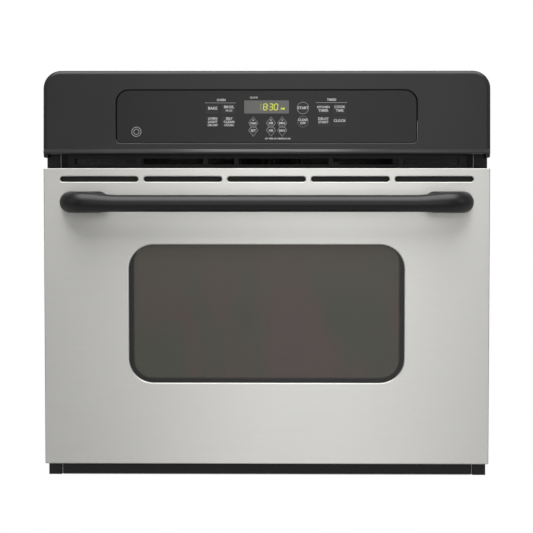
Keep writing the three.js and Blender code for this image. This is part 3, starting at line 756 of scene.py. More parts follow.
def panel_shell():
    """Outline rings: the sides and top roll back through a quarter circle, and the bottom
    through a tighter one behind the bead."""
    t = np.linspace(0, np.pi / 2, 8)
    rings = []
    for grow, back in zip(1 - np.sin(t), 1 - np.cos(t)):
        side, low = ROLL * grow, LIP * grow
        upper, lower = TOP_CORNER - side, max(LOW_CORNER - side, LEAST_CORNER)
        outline = rounded_outline((panel_low.x + side, panel_high.x - side),
                                  (panel_low.z + low, panel_high.z - side),
                                  [lower, upper, upper, lower], 12)
        depth = np.where(outline[:, 1] < panel_low.z + 12 * mm, LIP, ROLL) * back
        rings.append(np.stack([outline[:, 0], panel_low.y + depth, outline[:, 1]], 1))
    behind = rings[-1].copy()
    behind[:, 1] = panel_high.y
    rings.append(behind)
    return np.array(rings)


shell = panel_shell()
recess_x = (glass_low.x + 0.4 * mm, glass_high.x - 0.4 * mm)
recess_z = (glass_low.z + 0.4 * mm, glass_high.z - 0.4 * mm)
RECESS_CORNERS = [6.6 * mm, 21.6 * mm, 21.6 * mm, 6.6 * mm]
recess = rolled(recess_x, recess_z, RECESS_CORNERS, 1.4 * mm, panel_low.y, 3.0 * mm,
                steps=10, arc=3)
flat, triangles = field(shell[0][:, [0, 2]], [recess[0][:, [0, 2]]])
points, faces = merged([(at_depth(flat, panel_low.y), triangles.tolist()),
                        (shell.reshape(-1, 3), ring_faces(len(shell), shell.shape[1])),
                        (recess.reshape(-1, 3), ring_faces(len(recess), recess.shape[1]))])
panel = weld(mesh_object("panel_shell", points, faces, PANEL, "cabinet", "panel_paint"))
face_front(panel)
solidify(panel, 1.2 * mm)
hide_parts("control_panel")

# %% [markdown]
# Along the panel's lower edge runs a bead: the sheet bulges forward 2.6 mm before
# it turns back. Its upper flank looks up and catches the ceiling light, and its paint is
# lighter than the panel's, a painted highlight, so it reads as a light line above the dark
# gap. It could be part of the shell's rings, but as one section carried straight along X it
# keeps its shape right to the corners.

# %% Bead under the panel
def bead():
    """Section: y behind the face, z above the lower edge. The flank from 6.8 to 3.6 mm
    faces up and forward."""
    section = np.array([(1.2, 8.0), (0.0, 7.6), (-0.5, 6.8), (-2.4, 3.6), (-2.6, 2.6),
                        (-2.3, 1.2), (-1.2, 0.0), (0.4, -0.7), (3.0, -0.8), (3.0, 8.0)]) * mm
    return prism(section + [panel_low.y, panel_low.z],
                 panel_low.x + 0.4 * mm, panel_high.x - 0.4 * mm)


weld(mesh_object("panel_bead", *bead(), LIP_HIGHLIGHT_PAINT, "cabinet", "panel_paint"))

# %% [markdown]
# A painted highlight follows the lower edge of the recess, where its rim catches the light
# from above: a light-grey thread less than a millimetre thick runs along it and turns up at both
# ends.

# %% Recess edge
EDGE_RADIUS = 0.45 * mm
CORNER_STEPS = 8


def recess_edge():
    """A thread along the two lower corners of the recess's outline and half of its right
    side, with its middle 0.2 mm behind the panel's face."""
    outline = rounded_outline(recess_x, recess_z, RECESS_CORNERS, CORNER_STEPS)
    one = CORNER_STEPS + 1
    halfway = (outline[one - 1] + outline[one]) / 2
    run = np.concatenate([outline[-one:], outline[:one], [halfway]])
    return tube(at_depth(run, panel_low.y + 0.2 * mm), EDGE_RADIUS, sides=8)


weld(mesh_object("recess_edge", *recess_edge(), EDGE_HIGHLIGHT_PAINT, "cabinet", "panel_paint"))
print("panel", len(panel.data.polygons), "faces")

# %% [markdown]
# Behind the five air slots stands a black baffle, a shallow channel that keeps the eye, and
# spilt drops, out of the door while air passes round its edges.

# %% Slot baffle
def baffle():
    """A channel section carried along X: web behind the slots, two short flanges."""
    front, back, low, high = FACE + 9 * mm, FACE + 17 * mm, SLOT_Z - 11 * mm, SLOT_Z + 9 * mm
    t, half = 0.8 * mm, 368 * mm
    section = np.array([(front, low), (front, high), (back, high), (back, high - t),
                        (front + t, high - t), (front + t, low + t), (back, low + t),
                        (back, low)])
    return prism(section, -half, half)


weld(mesh_object("slot_baffle", *baffle(), TRIM, "door", "black_trim", smooth=False))
print("baffle behind", len(slot_columns), "slots")

# %% [markdown]
# ## The control glass
# Dark glass carries printed keys: lighter pads, thin rules, small white words and a
# lit clock. Print is a layer of ink, so each mark is a very thin plate just proud of the
# glass. The words are ordinary names of oven functions; they start as text, become mesh,
# and are gathered into one piece.

# %% Glass finish and inks
def dark_touch_glass():
    """Black-backed glass with faint wiping smears and an etched, slightly dull surface."""
    glass = Finish("touch_glass", {"IOR": 1.48})
    smear = glass.noise(1.0, 4.0, 0.6, glass.stretched((14, 14, 34)))
    grain = glass.noise(2600.0, 1.0)
    glass.feed(color=glass.blend(smear.ramp(0.3, 0.7), grey(20), grey(23)),
               roughness=0.28 + smear * 0.1 + grain * 0.04)
    return glass.material


def ink(name, low, high, warm=0.0):
    """Screen-printed ink: a fine weave from the mesh it was pressed through."""
    layer = Finish(name, {"IOR": 1.45})
    weave = layer.noise(3200.0, 2.0)
    layer.feed(color=layer.blend(weave, grey(low, warm), grey(high, warm)),
               roughness=0.4 + weave * 0.2)
    return layer.material


def lit_digit():
    """A glowing green-yellow phosphor, uneven at the scale of its grains."""
    digit = Finish("lit_digit", {"Emission Strength": 0.75, "Roughness": 0.4})
    hot = digit.noise(900.0, 2.0)
    green = digit.blend(hot, (0.50, 0.56, 0.02, 1), (0.66, 0.72, 0.05, 1))
    return digit.feed(color=green, glow=green).material


TOUCH = dark_touch_glass()
PAD_INK = ink("pad_ink", 44, 48)
WORD_INK = ink("word_ink", 205, 216)
RULE_INK = ink("rule_ink", 150, 160)
RED_INK = ink("red_ink", 120, 130, 0.3)
DISPLAY_INK = ink("display_window_ink", 98, 106, 0.05)
DIGIT = lit_digit()
print(len(bpy.data.materials), "materials with the touch glass, its inks and a lit digit")

# %% [markdown]
# The glass is one plate with a ground edge, a little smaller than the recess, so that a
# narrow dark groove is left all round it. A bevel on a plain block would do nearly the same,
# but rings drawn with the recess's own corners keep the groove equally wide everywhere.

# %% Glass plate
def glass_plate():
    """Rings from the flat front, round a ground edge, and back through the thickness of
    the glass."""
    gap, edge, thick = 1.1 * mm, 0.8 * mm, glass_high.y - glass_low.y
    x = (recess_x[0] + gap, recess_x[1] - gap)
    z = (recess_z[0] + gap, recess_z[1] - gap)
    return closed_rings(rolled(x, z, [c - gap for c in RECESS_CORNERS], edge, glass_low.y,
                               thick - edge, inwards=-1, steps=10, arc=3))


plate = weld(mesh_object("glass_plate", *glass_plate(), TOUCH, "cabinet", "touch_glass",
                         smooth=False))
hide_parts("panel_glass")
print("glass plate", len(plate.data.polygons), "faces")

# %% [markdown]
# Marks are laid out in millimetres: x from the middle of the panel, z from the floor of a
# drawing in which the panel's lower edge stands at 547. Inks that overlap lie at different
# depths, pads lowest and lit digits highest, so that no two faces share a plane.

# %% Printed marks
DRAWN_LOW_EDGE = 547 * mm
UP = panel_low.z - DRAWN_LOW_EDGE
INK_THICK = 0.05 * mm
PAD_FRONT_Y, RULE_Y, WORD_Y, DIGIT_Y = (glass_low.y - depth * mm
                                        for depth in (0.06, 0.08, 0.09, 0.12))


def flat_plate(outline, front):
    """A thin plate: the outline at the front, again at the back, and a wall between."""
    return closed_rings(np.stack([at_depth(outline, front),
                                  at_depth(outline, front + INK_THICK)]))


def flat_band(outer, inner, front):
    """A thin band between two outlines: its front, its inner edge, its back and its outer
    edge, as five rings."""
    back = front + INK_THICK
    loops = [at_depth(outer, front), at_depth(inner, front), at_depth(inner, back),
             at_depth(outer, back), at_depth(outer, front)]
    return np.concatenate(loops), ring_faces(5, len(outer))


def box_mark(x0, x1, z0, z1, corner=0.05, front=PAD_FRONT_Y):
    """A printed rectangle with rounded corners, all in millimetres."""
    outline = rounded_outline((x0 * mm, x1 * mm), (z0 * mm + UP, z1 * mm + UP),
                              [corner * mm] * 4, 4)
    return flat_plate(outline, front)


def ring_mark(x, z, outer, inner):
    """A flat ring with an outer and an inner radius, in millimetres."""
    angle = np.linspace(0, 2 * np.pi, 40, endpoint=False)
    circle = np.stack([np.cos(angle), np.sin(angle)], 1)
    middle = np.array([x * mm, z * mm + UP])
    return flat_band(middle + circle * outer * mm, middle + circle * inner * mm, PAD_FRONT_Y)


def print_on_glass(name, marks, material):
    """Gathers marks of one ink into a piece; points are merged only within a micrometre."""
    weld(mesh_object(name, *merged(marks), material, "cabinet", "touch_glass", smooth=False),
         0.001 * mm)
    print(name, "has", len(marks), "marks")


pads = [(-102.6, -80.5), (-76.2, -52.5), (85.0, 107.0), (112.0, 135.0)]
rows = [(614.0, 630.0), (592.6, 609.6)]
key_marks = [box_mark(x0, x1, z0, z1, 2.0) for x0, x1 in pads for z0, z1 in rows]
key_marks += [ring_mark(61.5, 624.0, 9.6, 0.2), ring_mark(61.5, 601.0, 9.0, 0.2)]


def arrow_outline(x, z, way, scale=1.0):
    """Outline of an up or down key: narrow foot, wide middle, drawn out to a point. way is
    1 for up and -1 for down."""
    shape = np.array([(-4.6, -7.6), (4.6, -7.6), (8.2, -1.6), (0, 8.6), (-8.2, -1.6)])
    shape = (shape * [1, way] * scale)[::way]
    return (shape + [x, z]) * mm + [0, UP]


def arrow_rim(x, z, way):
    """The thin light line round a key: a band between its outline and a smaller one."""
    return flat_band(arrow_outline(x, z, way), arrow_outline(x, z, way, 0.9), RULE_Y)


arrows = [(x, z, way) for x in (-22.4, 7.5, 26.5) for z, way in ((600.8, 1), (584.4, -1))]
key_marks += [flat_plate(arrow_outline(*arrow), PAD_FRONT_Y) for arrow in arrows]
print_on_glass("key_pads", key_marks, PAD_INK)

rules = [box_mark(-104, -52, 632.2, 632.9), box_mark(83, 136, 632.6, 633.3),
         ring_mark(-220.1, 584.0, 8.4, 7.3), ring_mark(-220.1, 584.0, 4.9, 3.9),
         ring_mark(61.5, 624.0, 10.2, 9.4), *[arrow_rim(*arrow) for arrow in arrows]]
print_on_glass("thin_rules", rules, RULE_INK)
print_on_glass("stop_ring", [ring_mark(61.5, 601.0, 9.5, 9.0)], RED_INK)
print_on_glass("display_window", [box_mark(-37.7, 37.9, 614.7, 636.8, 1.5)], DISPLAY_INK)

# %% [markdown]
# The words name what any oven does. Text starts as a curve, so that a font draws its
# letters, and becomes a mesh before it is placed. Each row below is a word, the middle of
# its foot in millimetres (x, z), and its letters' height.

# %% Words
WORDS = [("OVEN", -76.5, 635.6, 4.0), ("TIMED", 110, 636.0, 4.0), ("CLOCK", -21.5, 640.2, 2.9),
         ("BAKE", -91.0, 621.4, 4.8), ("BROIL", -63.3, 623.6, 4.6), ("HI LO", -63.3, 618.2, 3.2),
         ("OVEN", -91.0, 604.2, 4.2), ("LIGHT", -91.0, 598.6, 4.2), ("ON OFF", -91.0, 593.4, 3.4),
         ("SELF", -63.3, 604.2, 4.2), ("CLEAN", -63.3, 598.6, 4.2), ("HOURS", -63.3, 593.4, 3.4),
         ("KITCHEN", 96, 623.8, 3.7), ("TIMER", 96, 617.6, 4.4), ("COOK", 123.5, 623.8, 4.4),
         ("TIME", 123.5, 617.6, 4.4), ("DELAY", 96, 604.0, 4.2), ("START", 96, 598.2, 4.2),
         ("CLOCK", 123.5, 600.6, 4.4), ("START", 61.5, 622.0, 4.6), ("CLEAR", 61.5, 602.2, 4.0),
         ("OFF", 61.5, 596.6, 4.0), ("TEMP", -22.4, 596.6, 3.2), ("HR", 7.5, 596.6, 4.2),
         ("MIN", 26.5, 596.6, 4.0), ("+", -22.4, 601.4, 4.2), ("+", 7.5, 601.6, 4.2),
         ("+", 26.5, 601.6, 4.2), ("SET", -22.4, 584.0, 4.0), ("HR", 7.5, 584.0, 4.2),
         ("MIN", 26.5, 584.0, 4.0), ("SET TIME OR TEMPERATURE", 19, 571.2, 2.5)]


FONT_SIZE = 1.38 * mm


def word_mesh(text, x, z, height, bold=0.1 * mm):
    """Text as a mesh: written flat, made a mesh, then stood up at its place."""
    curve = bpy.data.curves.new("word", "FONT")
    curve.body = text
    curve.size = height * FONT_SIZE
    curve.align_x = "CENTER"
    curve.resolution_u = 2
    curve.extrude = 0.02 * mm
    curve.offset = bold
    holder = bpy.data.objects.new("word", curve)
    mesh = bpy.data.meshes.new_from_object(holder)
    count = len(mesh.vertices)
    flat_points = np.empty(count * 3)
    mesh.vertices.foreach_get("co", flat_points)
    px, py, pz = flat_points.reshape(-1, 3).T
    points = np.stack([px + x * mm, WORD_Y - pz, py + z * mm + UP], 1)
    found = [list(p.vertices) for p in mesh.polygons]
    bpy.data.objects.remove(holder)
    bpy.data.curves.remove(curve)
    bpy.data.meshes.remove(mesh)
    return points, found


print_on_glass("key_words", [word_mesh(*word) for word in WORDS], WORD_INK)

# %% [markdown]
# The clock is a vacuum display: each digit is built from up to seven lit bars, leaning a
# little to the right, with two dots between hours and minutes.

# %% Clock digits
LEAN = 0.09


def segment(x, z, long, thick, upright):
    """One bar of a seven-segment digit: a thin hexagon."""
    a, b = long / 2, thick / 2
    points = np.array([(-a, 0), (-a + b, -b), (a - b, -b), (a, 0), (a - b, b), (-a + b, b)])
    if upright:
        points = points[:, ::-1] * [1, -1]
    points[:, 0] += points[:, 1] * LEAN
    return flat_plate((points + [x, z]) * mm + [0, UP], DIGIT_Y)


SEGMENTS = {"8": "abcdefg", "3": "abcdg", "0": "abcdef"}
PLACES = {"a": (0, 5, False), "g": (0, 0, False), "d": (0, -5, False), "b": (2.9, 2.5, True),
          "c": (2.9, -2.5, True), "f": (-2.9, 2.5, True), "e": (-2.9, -2.5, True)}
digit_marks = []
for digit, x in (("8", -2.1), ("3", 7.5), ("0", 16.0)):
    for letter in SEGMENTS[digit]:
        dx, dz, upright = PLACES[letter]
        digit_marks.append(segment(x + dx + dz * LEAN, 625.8 + dz, 4.8, 0.95, upright))
for dz in (-4.2, -1.4, 1.4, 4.2):
    digit_marks.append(box_mark(-10.3 + dz * LEAN, -9.4 + dz * LEAN, 625.4 + dz, 626.3 + dz,
                                0.3, DIGIT_Y))
digit_marks += [word_mesh("AM", 27.2, 621.2, 3.6, 0.02 * mm),
                box_mark(2.4, 3.3, 627.6, 628.5, 0.3, DIGIT_Y),
                box_mark(2.0, 2.9, 622.9, 623.8, 0.3, DIGIT_Y)]
print_on_glass("clock_digits", digit_marks, DIGIT)

# %% [markdown]
# ## Racks, elements, seal and springs
# These are all rods that follow a path. The rack is a frame rod with rounded corners, two
# cross rods and thin wires on top. A measured model draws them with six flat sides, which
# show, so they are swept again with round sections.

# %% Racks and heating elements
FRAME_ROD, CROSS_ROD, THIN_WIRE = 3.0 * mm, 2.6 * mm, 2.0 * mm
WIRE_COUNT, STEP = 12, 5 * mm


def rack_parts(low, high):
    """Frame, cross rods and wires of one rack, from its measured box. Each wire steps up a
    millimetre just inside the frame and runs along the top."""
    r = FRAME_ROD
    z = (low.z + high.z) / 2
    x0, x1, y0, y1 = low.x + r, high.x - r, low.y + r, high.y - r
    loop = at_depth(rounded_outline((x0, x1), (y0, y1), [9 * mm] * 4, 5), z)[:, [0, 2, 1]]
    parts = [tube(loop, r, 12, closed=True)]
    for y in (0.0, y0 + 16 * mm):
        parts.append(tube([[x0, y, z - 0.2 * mm], [x1, y, z - 0.2 * mm]], CROSS_ROD, 10))
    top = z + 1.0 * mm
    for x in np.linspace(x0, x1, WIRE_COUNT + 2)[1:-1]:
        path = smooth_path([[x, y0, z], [x, y0 + STEP, top], [x, y1 - STEP, top],
                            [x, y1, z]], 2 * mm, 3)
        parts.append(tube(path, THIN_WIRE, 8))
    return merged(parts)


for name in ("rack_lower", "rack_upper"):
    wires = mesh_object(f"{name}_wires", *rack_parts(*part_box(name)), WIRE, name, "bright_wire")
    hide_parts(name)


LEG_X, SHEATH_R = 30 * mm, 3.4 * mm


def element_path(name, outer, inner, front, rear):
    """Half of the loop from its leg to its inner end, then the same again mirrored."""
    low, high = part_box(name)
    z = (low.z + high.z) / 2
    half = [(LEG_X, high.y), (LEG_X, rear), (outer, rear), (outer, front), (inner, front),
            (inner, rear - 60 * mm)]
    left = [(-x, y, z) for x, y in half]
    right = [(x, y, z) for x, y in half][::-1]
    return smooth_path(left + right, 15 * mm, 8)


# Outer and inner run (x), front and rear turn (y), in millimetres.
ELEMENTS = {"bake_element": (220, 110, -180, 200), "broil_element": (195, 90, -165, 195)}
for name, sizes in ELEMENTS.items():
    path = element_path(name, *[size * mm for size in sizes])
    rod = mesh_object(f"{name}_rod", *tube(path, SHEATH_R, 12), SHEATH, "cabinet",
                      "element_sheath")
    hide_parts(name)
print("racks and elements swept")

# %% [markdown]
# The seal round the oven's mouth is a braided glass-fibre sleeve. A bump in its finish could
# draw the whole plait, but its outline would stay straight, so the tube's radius is made to
# swell as well, and the finish only adds the crossing strands.

# %% Door seal
seal_low, seal_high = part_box("door_gasket")
SEAL_R, PLAIT, SEAL_INSET = 3.6 * mm, 5 * mm, 4.5 * mm


def braided_seal():
    """A closed tube whose radius swells and shrinks every few millimetres, as a plaited
    sleeve does over its core: radius times (1 + 0.05 sin(distance * 2 pi / 5 mm))."""
    outline = rounded_outline((seal_low.x + SEAL_INSET, seal_high.x - SEAL_INSET),
                              (seal_low.z + SEAL_INSET, seal_high.z - SEAL_INSET),
                              [27 * mm] * 4, 12)
    closed = np.concatenate([outline, outline[:1]])
    steps = np.linalg.norm(np.diff(closed, axis=0), axis=1)
    along = np.concatenate([[0], np.cumsum(steps)])
    at = np.linspace(0, along[-1], 1400, endpoint=False)
    path = np.stack([np.interp(at, along, closed[:, 0]),
                     np.full(len(at), (seal_low.y + seal_high.y) / 2),
                     np.interp(at, along, closed[:, 1])], 1)
    radius = SEAL_R * (1 + 0.05 * np.sin(at * 2 * np.pi / PLAIT))
    return tube(path, radius, 10, closed=True)


seal = mesh_object("oven_seal", *braided_seal(), SEAL, "cabinet", "fibre_seal")
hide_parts("door_gasket")
print("seal", len(seal.data.polygons), "faces")

# %% [markdown]
# The door's weight is carried by a coil spring in each hinge. When the door opens, the rod
# through the spring is drawn down and the coil shortens. A stack of rings would be simpler to
# draw, but a real coil is one helix whose last turn and a half at each end lies nearly flat.

# %% Hinge springs
COIL_WIRE, TURNS, RINGS_A_TURN = 1.15 * mm, 31, 14


def spring_path(low, high):
    """x and y go round a circle while z climbs; the climb is a quarter as steep at both
    ends and grows to full over a turn and a half."""
    radius = (high.x - low.x) / 2 - COIL_WIRE
    angle = np.linspace(0, 2 * np.pi * TURNS, TURNS * RINGS_A_TURN)
    rise = np.linspace(0, 1, len(angle))
    ends = np.clip(np.minimum(rise, 1 - rise) * TURNS / 1.5, 0, 1)
    height = np.cumsum(0.25 + 0.75 * ends)
    height = (height - height[0]) / (height[-1] - height[0])
    span = high.z - low.z - 2 * COIL_WIRE
    return np.stack([(low.x + high.x) / 2 + radius * np.cos(angle),
                     (low.y + high.y) / 2 + radius * np.sin(angle),
                     low.z + COIL_WIRE + span * height], 1)


for side in ("left", "right"):
    low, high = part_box(f"hinge_spring_{side}")
    coil = mesh_object(f"spring_coil_{side}", *tube(spring_path(low, high), COIL_WIRE, 7), WIRE,
                       "door", "bright_wire")
    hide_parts(f"hinge_spring_{side}")
    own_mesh(coil)
    print("spring", side, round(high.z - low.z, 3), "m long")

# %% [markdown]
# ## Lamp and screws
# Round parts are a profile turned about an axis. The oven lamp has a ribbed glass cover, a
# bulb and a ceramic holder. Screws are turned too, with a washer face, a pan head and a
# socket, and one piece holds all the screws of a kind, so each needs only a few dozen faces.

# %% Turned parts
def turned(profile, centre, axis, sides=32, lobes=0, depth=0.0):
    """Profile (radius, height) carried round the axis. With lobes the radius is scaled by
    1 + depth * cos(lobes * angle), which makes ribs."""
    profile = np.asarray(profile, float) * mm
    angle = np.linspace(0, 2 * np.pi, sides, endpoint=False)
    axis = np.asarray(axis, float)
    side = np.cross(axis, [0.0, 0.0, 1.0] if abs(axis[2]) < 0.9 else [1.0, 0.0, 0.0])
    other = np.cross(axis, side)
    ribs = 1 + depth * np.cos(lobes * angle)
    round_ = (np.cos(angle)[:, None] * side + np.sin(angle)[:, None] * other) * ribs[:, None]
    rings = (np.asarray(centre) + profile[:, 0, None, None] * round_
             + profile[:, 1, None, None] * axis)
    return rings.reshape(-1, 3), ring_faces(len(profile), sides)


def behind_middle(name):
    """The middle of a node's rear face, from which its turned piece grows forward."""
    low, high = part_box(name)
    return ((low.x + high.x) / 2, high.y, (low.z + high.z) / 2)


FORWARD = (0, -1, 0)
cover_profile = [(29, 0), (29, 4), (24, 6.5), (22.3, 9), (21.6, 19), (19, 23.5), (12, 27.4),
                 (5, 28.6), (0, 28.8), (0, 27.2), (5, 27), (11, 25.8), (17.4, 22), (19.6, 18),
                 (20.2, 8), (25, 0), (29, 0)]
cover_shape = turned(cover_profile, behind_middle("lamp_cover"), FORWARD, 48, 24, 0.012)
cover = weld(mesh_object("lamp_glass", *cover_shape, CLEAR, "cabinet", "clear_glass"))
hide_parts("lamp_cover")
bulb_profile = [(0, 0), (6, 0), (6, 16), (8.2, 22), (10.6, 30), (11, 35), (9.8, 39.5),
                (6.6, 42.6), (3, 43.8), (0, 44)]
bulb_shape = turned(bulb_profile, behind_middle("lamp_bulb"), FORWARD, 24)
bulb = weld(mesh_object("lamp_bulb_glass", *bulb_shape, CERAMIC, "cabinet", "clear_glass"))
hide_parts("lamp_bulb")


def screw(centre, axis, radius, height):
    """A pan-head screw: a washer face, a crowned head and a socket in its middle."""
    profile = [(0, 0.0), (radius * 1.25, 0.0), (radius * 1.25, 0.5), (radius, 0.6),
               (radius * 0.92, height * 0.75), (radius * 0.6, height), (radius * 0.36, height),
               (radius * 0.3, height * 0.55), (0, height * 0.5)]
    return turned(profile, centre, axis, 12)


def screws(name, places, axis, radius, height):
    """One piece with a screw at every place, all facing along the axis."""
    parts = [screw(place, axis, radius, height) for place in places]
    weld(mesh_object(name, *merged(parts), ZINC, "cabinet", "zinc_steel"))
    print(name, len(places))


def body_side(side):
    """A side wall's corners, the way it faces along X, and the X of its outer face."""
    low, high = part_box(f"body_side_{side}")
    return (low, high, -1, low.x) if side == "left" else (low, high, 1, high.x)


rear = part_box("rear_cover")
side_z = np.linspace(rear[0].z + 24 * mm, rear[1].z - 24 * mm, 6)
edge_x = np.linspace(rear[0].x + 60 * mm, rear[1].x - 60 * mm, 5)
border_y = rear[1].y - 3.1 * mm
inset = 13 * mm
rear_places = [(x, border_y, z) for x in (rear[0].x + inset, rear[1].x - inset)
               for z in side_z]
rear_places += [(x, border_y, z) for x in edge_x
                for z in (rear[0].z + inset, rear[1].z - inset)]
screws("rear_screws", rear_places, (0, 1, 0), 3.9, 2.4)
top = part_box("top_cover")
rib_rise = 3.0 * mm
top_places = [(x, y, top[1].z - rib_rise) for y in (top[0].y + 14 * mm, top[1].y - 14 * mm)
              for x in (-330 * mm, -270 * mm, -140 * mm, 0, 140 * mm, 270 * mm, 335 * mm)]
screws("top_screws", top_places, (0, 0, 1), 3.6, 2.2)
for side in ("left", "right"):
    low, high, sign, face_x = body_side(side)
    low_z, high_z = low.z + 14 * mm, high.z - 10 * mm
    rows_z = np.linspace(low_z, high_z, 5)
    places = [(face_x, y, z) for y in (low.y + 40 * mm, high.y - 12 * mm) for z in rows_z]
    places += [(face_x, y, z) for y in np.linspace(low.y + 150 * mm, high.y - 110 * mm, 3)
               for z in (low_z, high_z)]
    screws(f"side_screws_{side}", places, (sign, 0, 0), 3.2, 1.3)

# %% [markdown]
# The tall side walls are stiffened by pressed beads, long shallow ridges that stop a thin
# sheet from drumming. Each is half an ellipse across, and sinks into the sheet at its ends.

# %% Pressed side beads
BEAD_HALF, BEAD_RISE, BEAD_END = 7 * mm, 1.6 * mm, 12 * mm


def pressed_bead(side_x, sign, y, z0, z1):
    """Over the grid u along Z and v across Y the height is rise * sqrt(1 - v^2) scaled by
    sqrt(1 - e^2), where e runs from 0 to 1 over the last centimetre at each end."""
    v = np.linspace(-1, 1, 11)
    closing = BEAD_END * (1 - np.cos(np.linspace(0, np.pi / 2, 7)))
    u = np.concatenate([z0 + closing, z1 - closing[::-1]])
    end = np.clip(np.minimum(u - z0, z1 - u) / BEAD_END, 0, 1)
    taper = np.sqrt(1 - (1 - end) ** 2)
    height = BEAD_RISE * taper[:, None] * np.sqrt(np.clip(1 - v ** 2, 0, 1))[None]
    across = y + BEAD_HALF * (0.25 + 0.75 * taper[:, None]) * v[None]
    top = np.stack([side_x + sign * height, across, np.broadcast_to(u[:, None], height.shape)], 2)
    foot = top.copy()
    foot[:, :, 0] = side_x - sign * 0.4 * mm
    return closed_rings(np.concatenate([top, foot[:, ::-1]], 1))


for side in ("left", "right"):
    low, high, sign, face_x = body_side(side)
    beads = [pressed_bead(face_x, sign, y, low.z + 60 * mm, high.z - 60 * mm)
             for y in np.linspace(low.y + 130 * mm, high.y - 90 * mm, 4)]
    weld(mesh_object(f"side_beads_{side}", *merged(beads), ZINC, "cabinet", "zinc_steel"))
print("side beads pressed")

# %% [markdown]
# ## The rest of the measured pieces
# Pieces whose measured shape is right stay, and get a finish. Sheet metal also gets a fine
# bevel, because a folded edge is never knife sharp; the doubled points of the loose
# triangles are merged first by a modifier, so the mesh itself is untouched.
#
# The window's pane needs a finish of its own. Its screen of fine dots is printed, so it could
# be thin plates like the keys; as thousands of dots repeat, they are cheaper and just as sharp
# as a pattern worked out from x and z. The dark band along its sides and bottom, none along its
# top, is painted shade from the recess round the window, and the pane is painted lighter towards
# its top, as the light from above falls there.

# %% Window glass
DOT_WAVE = 2900.0


def window_finish():
    """Dark glass with a fine screen of dots, a painted shade band along its sides and bottom, and
    painted light towards its top.
    """
    glass = Finish("window_glass", {"IOR": 1.5})
    x, _, z = glass.axes()
    # Painted shade: a dark band along the sides and bottom where the recess round the window
    # casts its shadow; the clear part reaches past the top, so the top has none.
    border, corner = 6 * mm, 34 * mm
    clear_low, clear_high = WINDOW_Z[0] + border, WINDOW_Z[1] + 5 * mm
    middle_z, half_z = (clear_low + clear_high) / 2, (clear_high - clear_low) / 2
    dx = (abs(x) - (WINDOW_X - border - corner)).most(0.0)
    dz = (abs(z - middle_z) - (half_z - corner)).most(0.0)
    away = glass.node("Math", {"operation": "SQRT"}, {0: dx * dx + dz * dz}) / corner
    shade_band_mask = away.ramp(0.86, 1.03)
    dots_x = glass.node("Math", {"operation": "SINE"}, {0: x * DOT_WAVE})
    dots_z = glass.node("Math", {"operation": "SINE"}, {0: z * DOT_WAVE})
    dots = (dots_x * dots_z * 0.5 + 0.5).ramp(0.2, 0.8)
    haze = glass.noise(4.0, 3.0, 0.6, glass.stretched((1, 1, 0.6)))
    tinge = glass.noise(9.0, 2.0, 0.5, glass.stretched((1, 1, 0.45)))
    # Painted light: the pane grows lighter towards its top, where the light from above falls.
    higher = (z - WINDOW_Z[0]) / (WINDOW_Z[1] - WINDOW_Z[0])
    warm = glass.blend(tinge.ramp(0.4, 0.62), (0.070, 0.082, 0.056, 1), (0.104, 0.072, 0.070, 1))
    tinted = glass.blend((haze * 0.5 + higher.ramp(0.4, 1.2) * 0.7), warm,
                         (0.128, 0.112, 0.092, 1))
    glass.feed(color=glass.blend(shade_band_mask, tinted, grey(10)),
               roughness=0.3 + haze * 0.06,
               alpha=shade_band_mask.most(dots * 0.22 + 0.60))
    return glass.material


WINDOW = window_finish()
print("window pane clear for", round(2 * WINDOW_X, 3), "m of its width")

# %% Finish and edge of every measured piece
FINISHES = {
    "stainless_door": STEEL, "panel_paint": PANEL, "touch_glass": TOUCH,
    "window_glass": WINDOW, "clear_glass": CLEAR, "satin_black": SATIN, "black_trim": TRIM,
    "zinc_steel": ZINC, "porcelain": ENAMEL, "mineral_wool": WOOL, "bright_wire": WIRE,
    "element_sheath": SHEATH, "fibre_seal": SEAL, "black_plastic": PLASTIC,
    "white_ceramic": CERAMIC, "circuit_board": BOARD}
# The front frame shows only as a strip between the side trims and the grille, which lies in
# shadow; it is painted near black and dull in place of its enamel, a painted shade.
OWN_FINISH = {"front_frame": FRAME_SHADE_BLACK}
# Bevel widths in millimetres.
SHARP = {"window_glass": 0.4, "side_trim_left": 0.35, "side_trim_right": 0.35,
         "bottom_trim": 0.35, "vent_grille": 0.4, "front_frame": 0.3,
         "rear_cover": 0.5, "body_side_left": 0.35, "body_side_right": 0.35, "top_cover": 0.5,
         "base_pan": 0.4, "junction_box": 0.5, "conduit_gland": 0.5, "air_duct": 0.4,
         "cavity_wrapper": 0.5, "door_liner": 0.6, "hinge_channel_left": 0.4,
         "hinge_channel_right": 0.4, "panel_end_left": 0.4, "panel_end_right": 0.4}
SAME_POINT = 0.002 * mm
slot_of = {row["node"]: row["material_slot"] for row in frame["record"]["subparts"]}
for name, piece in nodes.items():
    piece.data.materials.clear()
    piece.data.materials.append(OWN_FINISH.get(name, FINISHES[slot_of[name]]))
    if name in SHARP:
        joined = piece.modifiers.new("joined", "WELD")
        joined.merge_threshold = SAME_POINT
        soften(piece, SHARP[name] * mm)
print("finished", len(nodes), "measured pieces, of which", len(SHARP), "are bevelled")

# %% [markdown]
# ## Studio
# The oven sits on a pale stand, as it would on the shelf of its cabinet, so that its open
# door can hang past the edge; the floor is a little lower. Seen directly the floor and the
# room are white; what they give back to the oven is a soft grey, so that the black parts
# keep their shape.

# %% Floor
def glow_to_eye(tree, seen, lit):
    """One shader where the camera sees a thing directly, another where it lights the oven."""
    path = tree.nodes.new("ShaderNodeLightPath")
    chosen = tree.nodes.new("ShaderNodeMixShader")
    tree.links.new(path.outputs["Is Camera Ray"], chosen.inputs[0])
    tree.links.new(lit, chosen.inputs[1])
    tree.links.new(seen, chosen.inputs[2])
    return chosen.outputs[0]


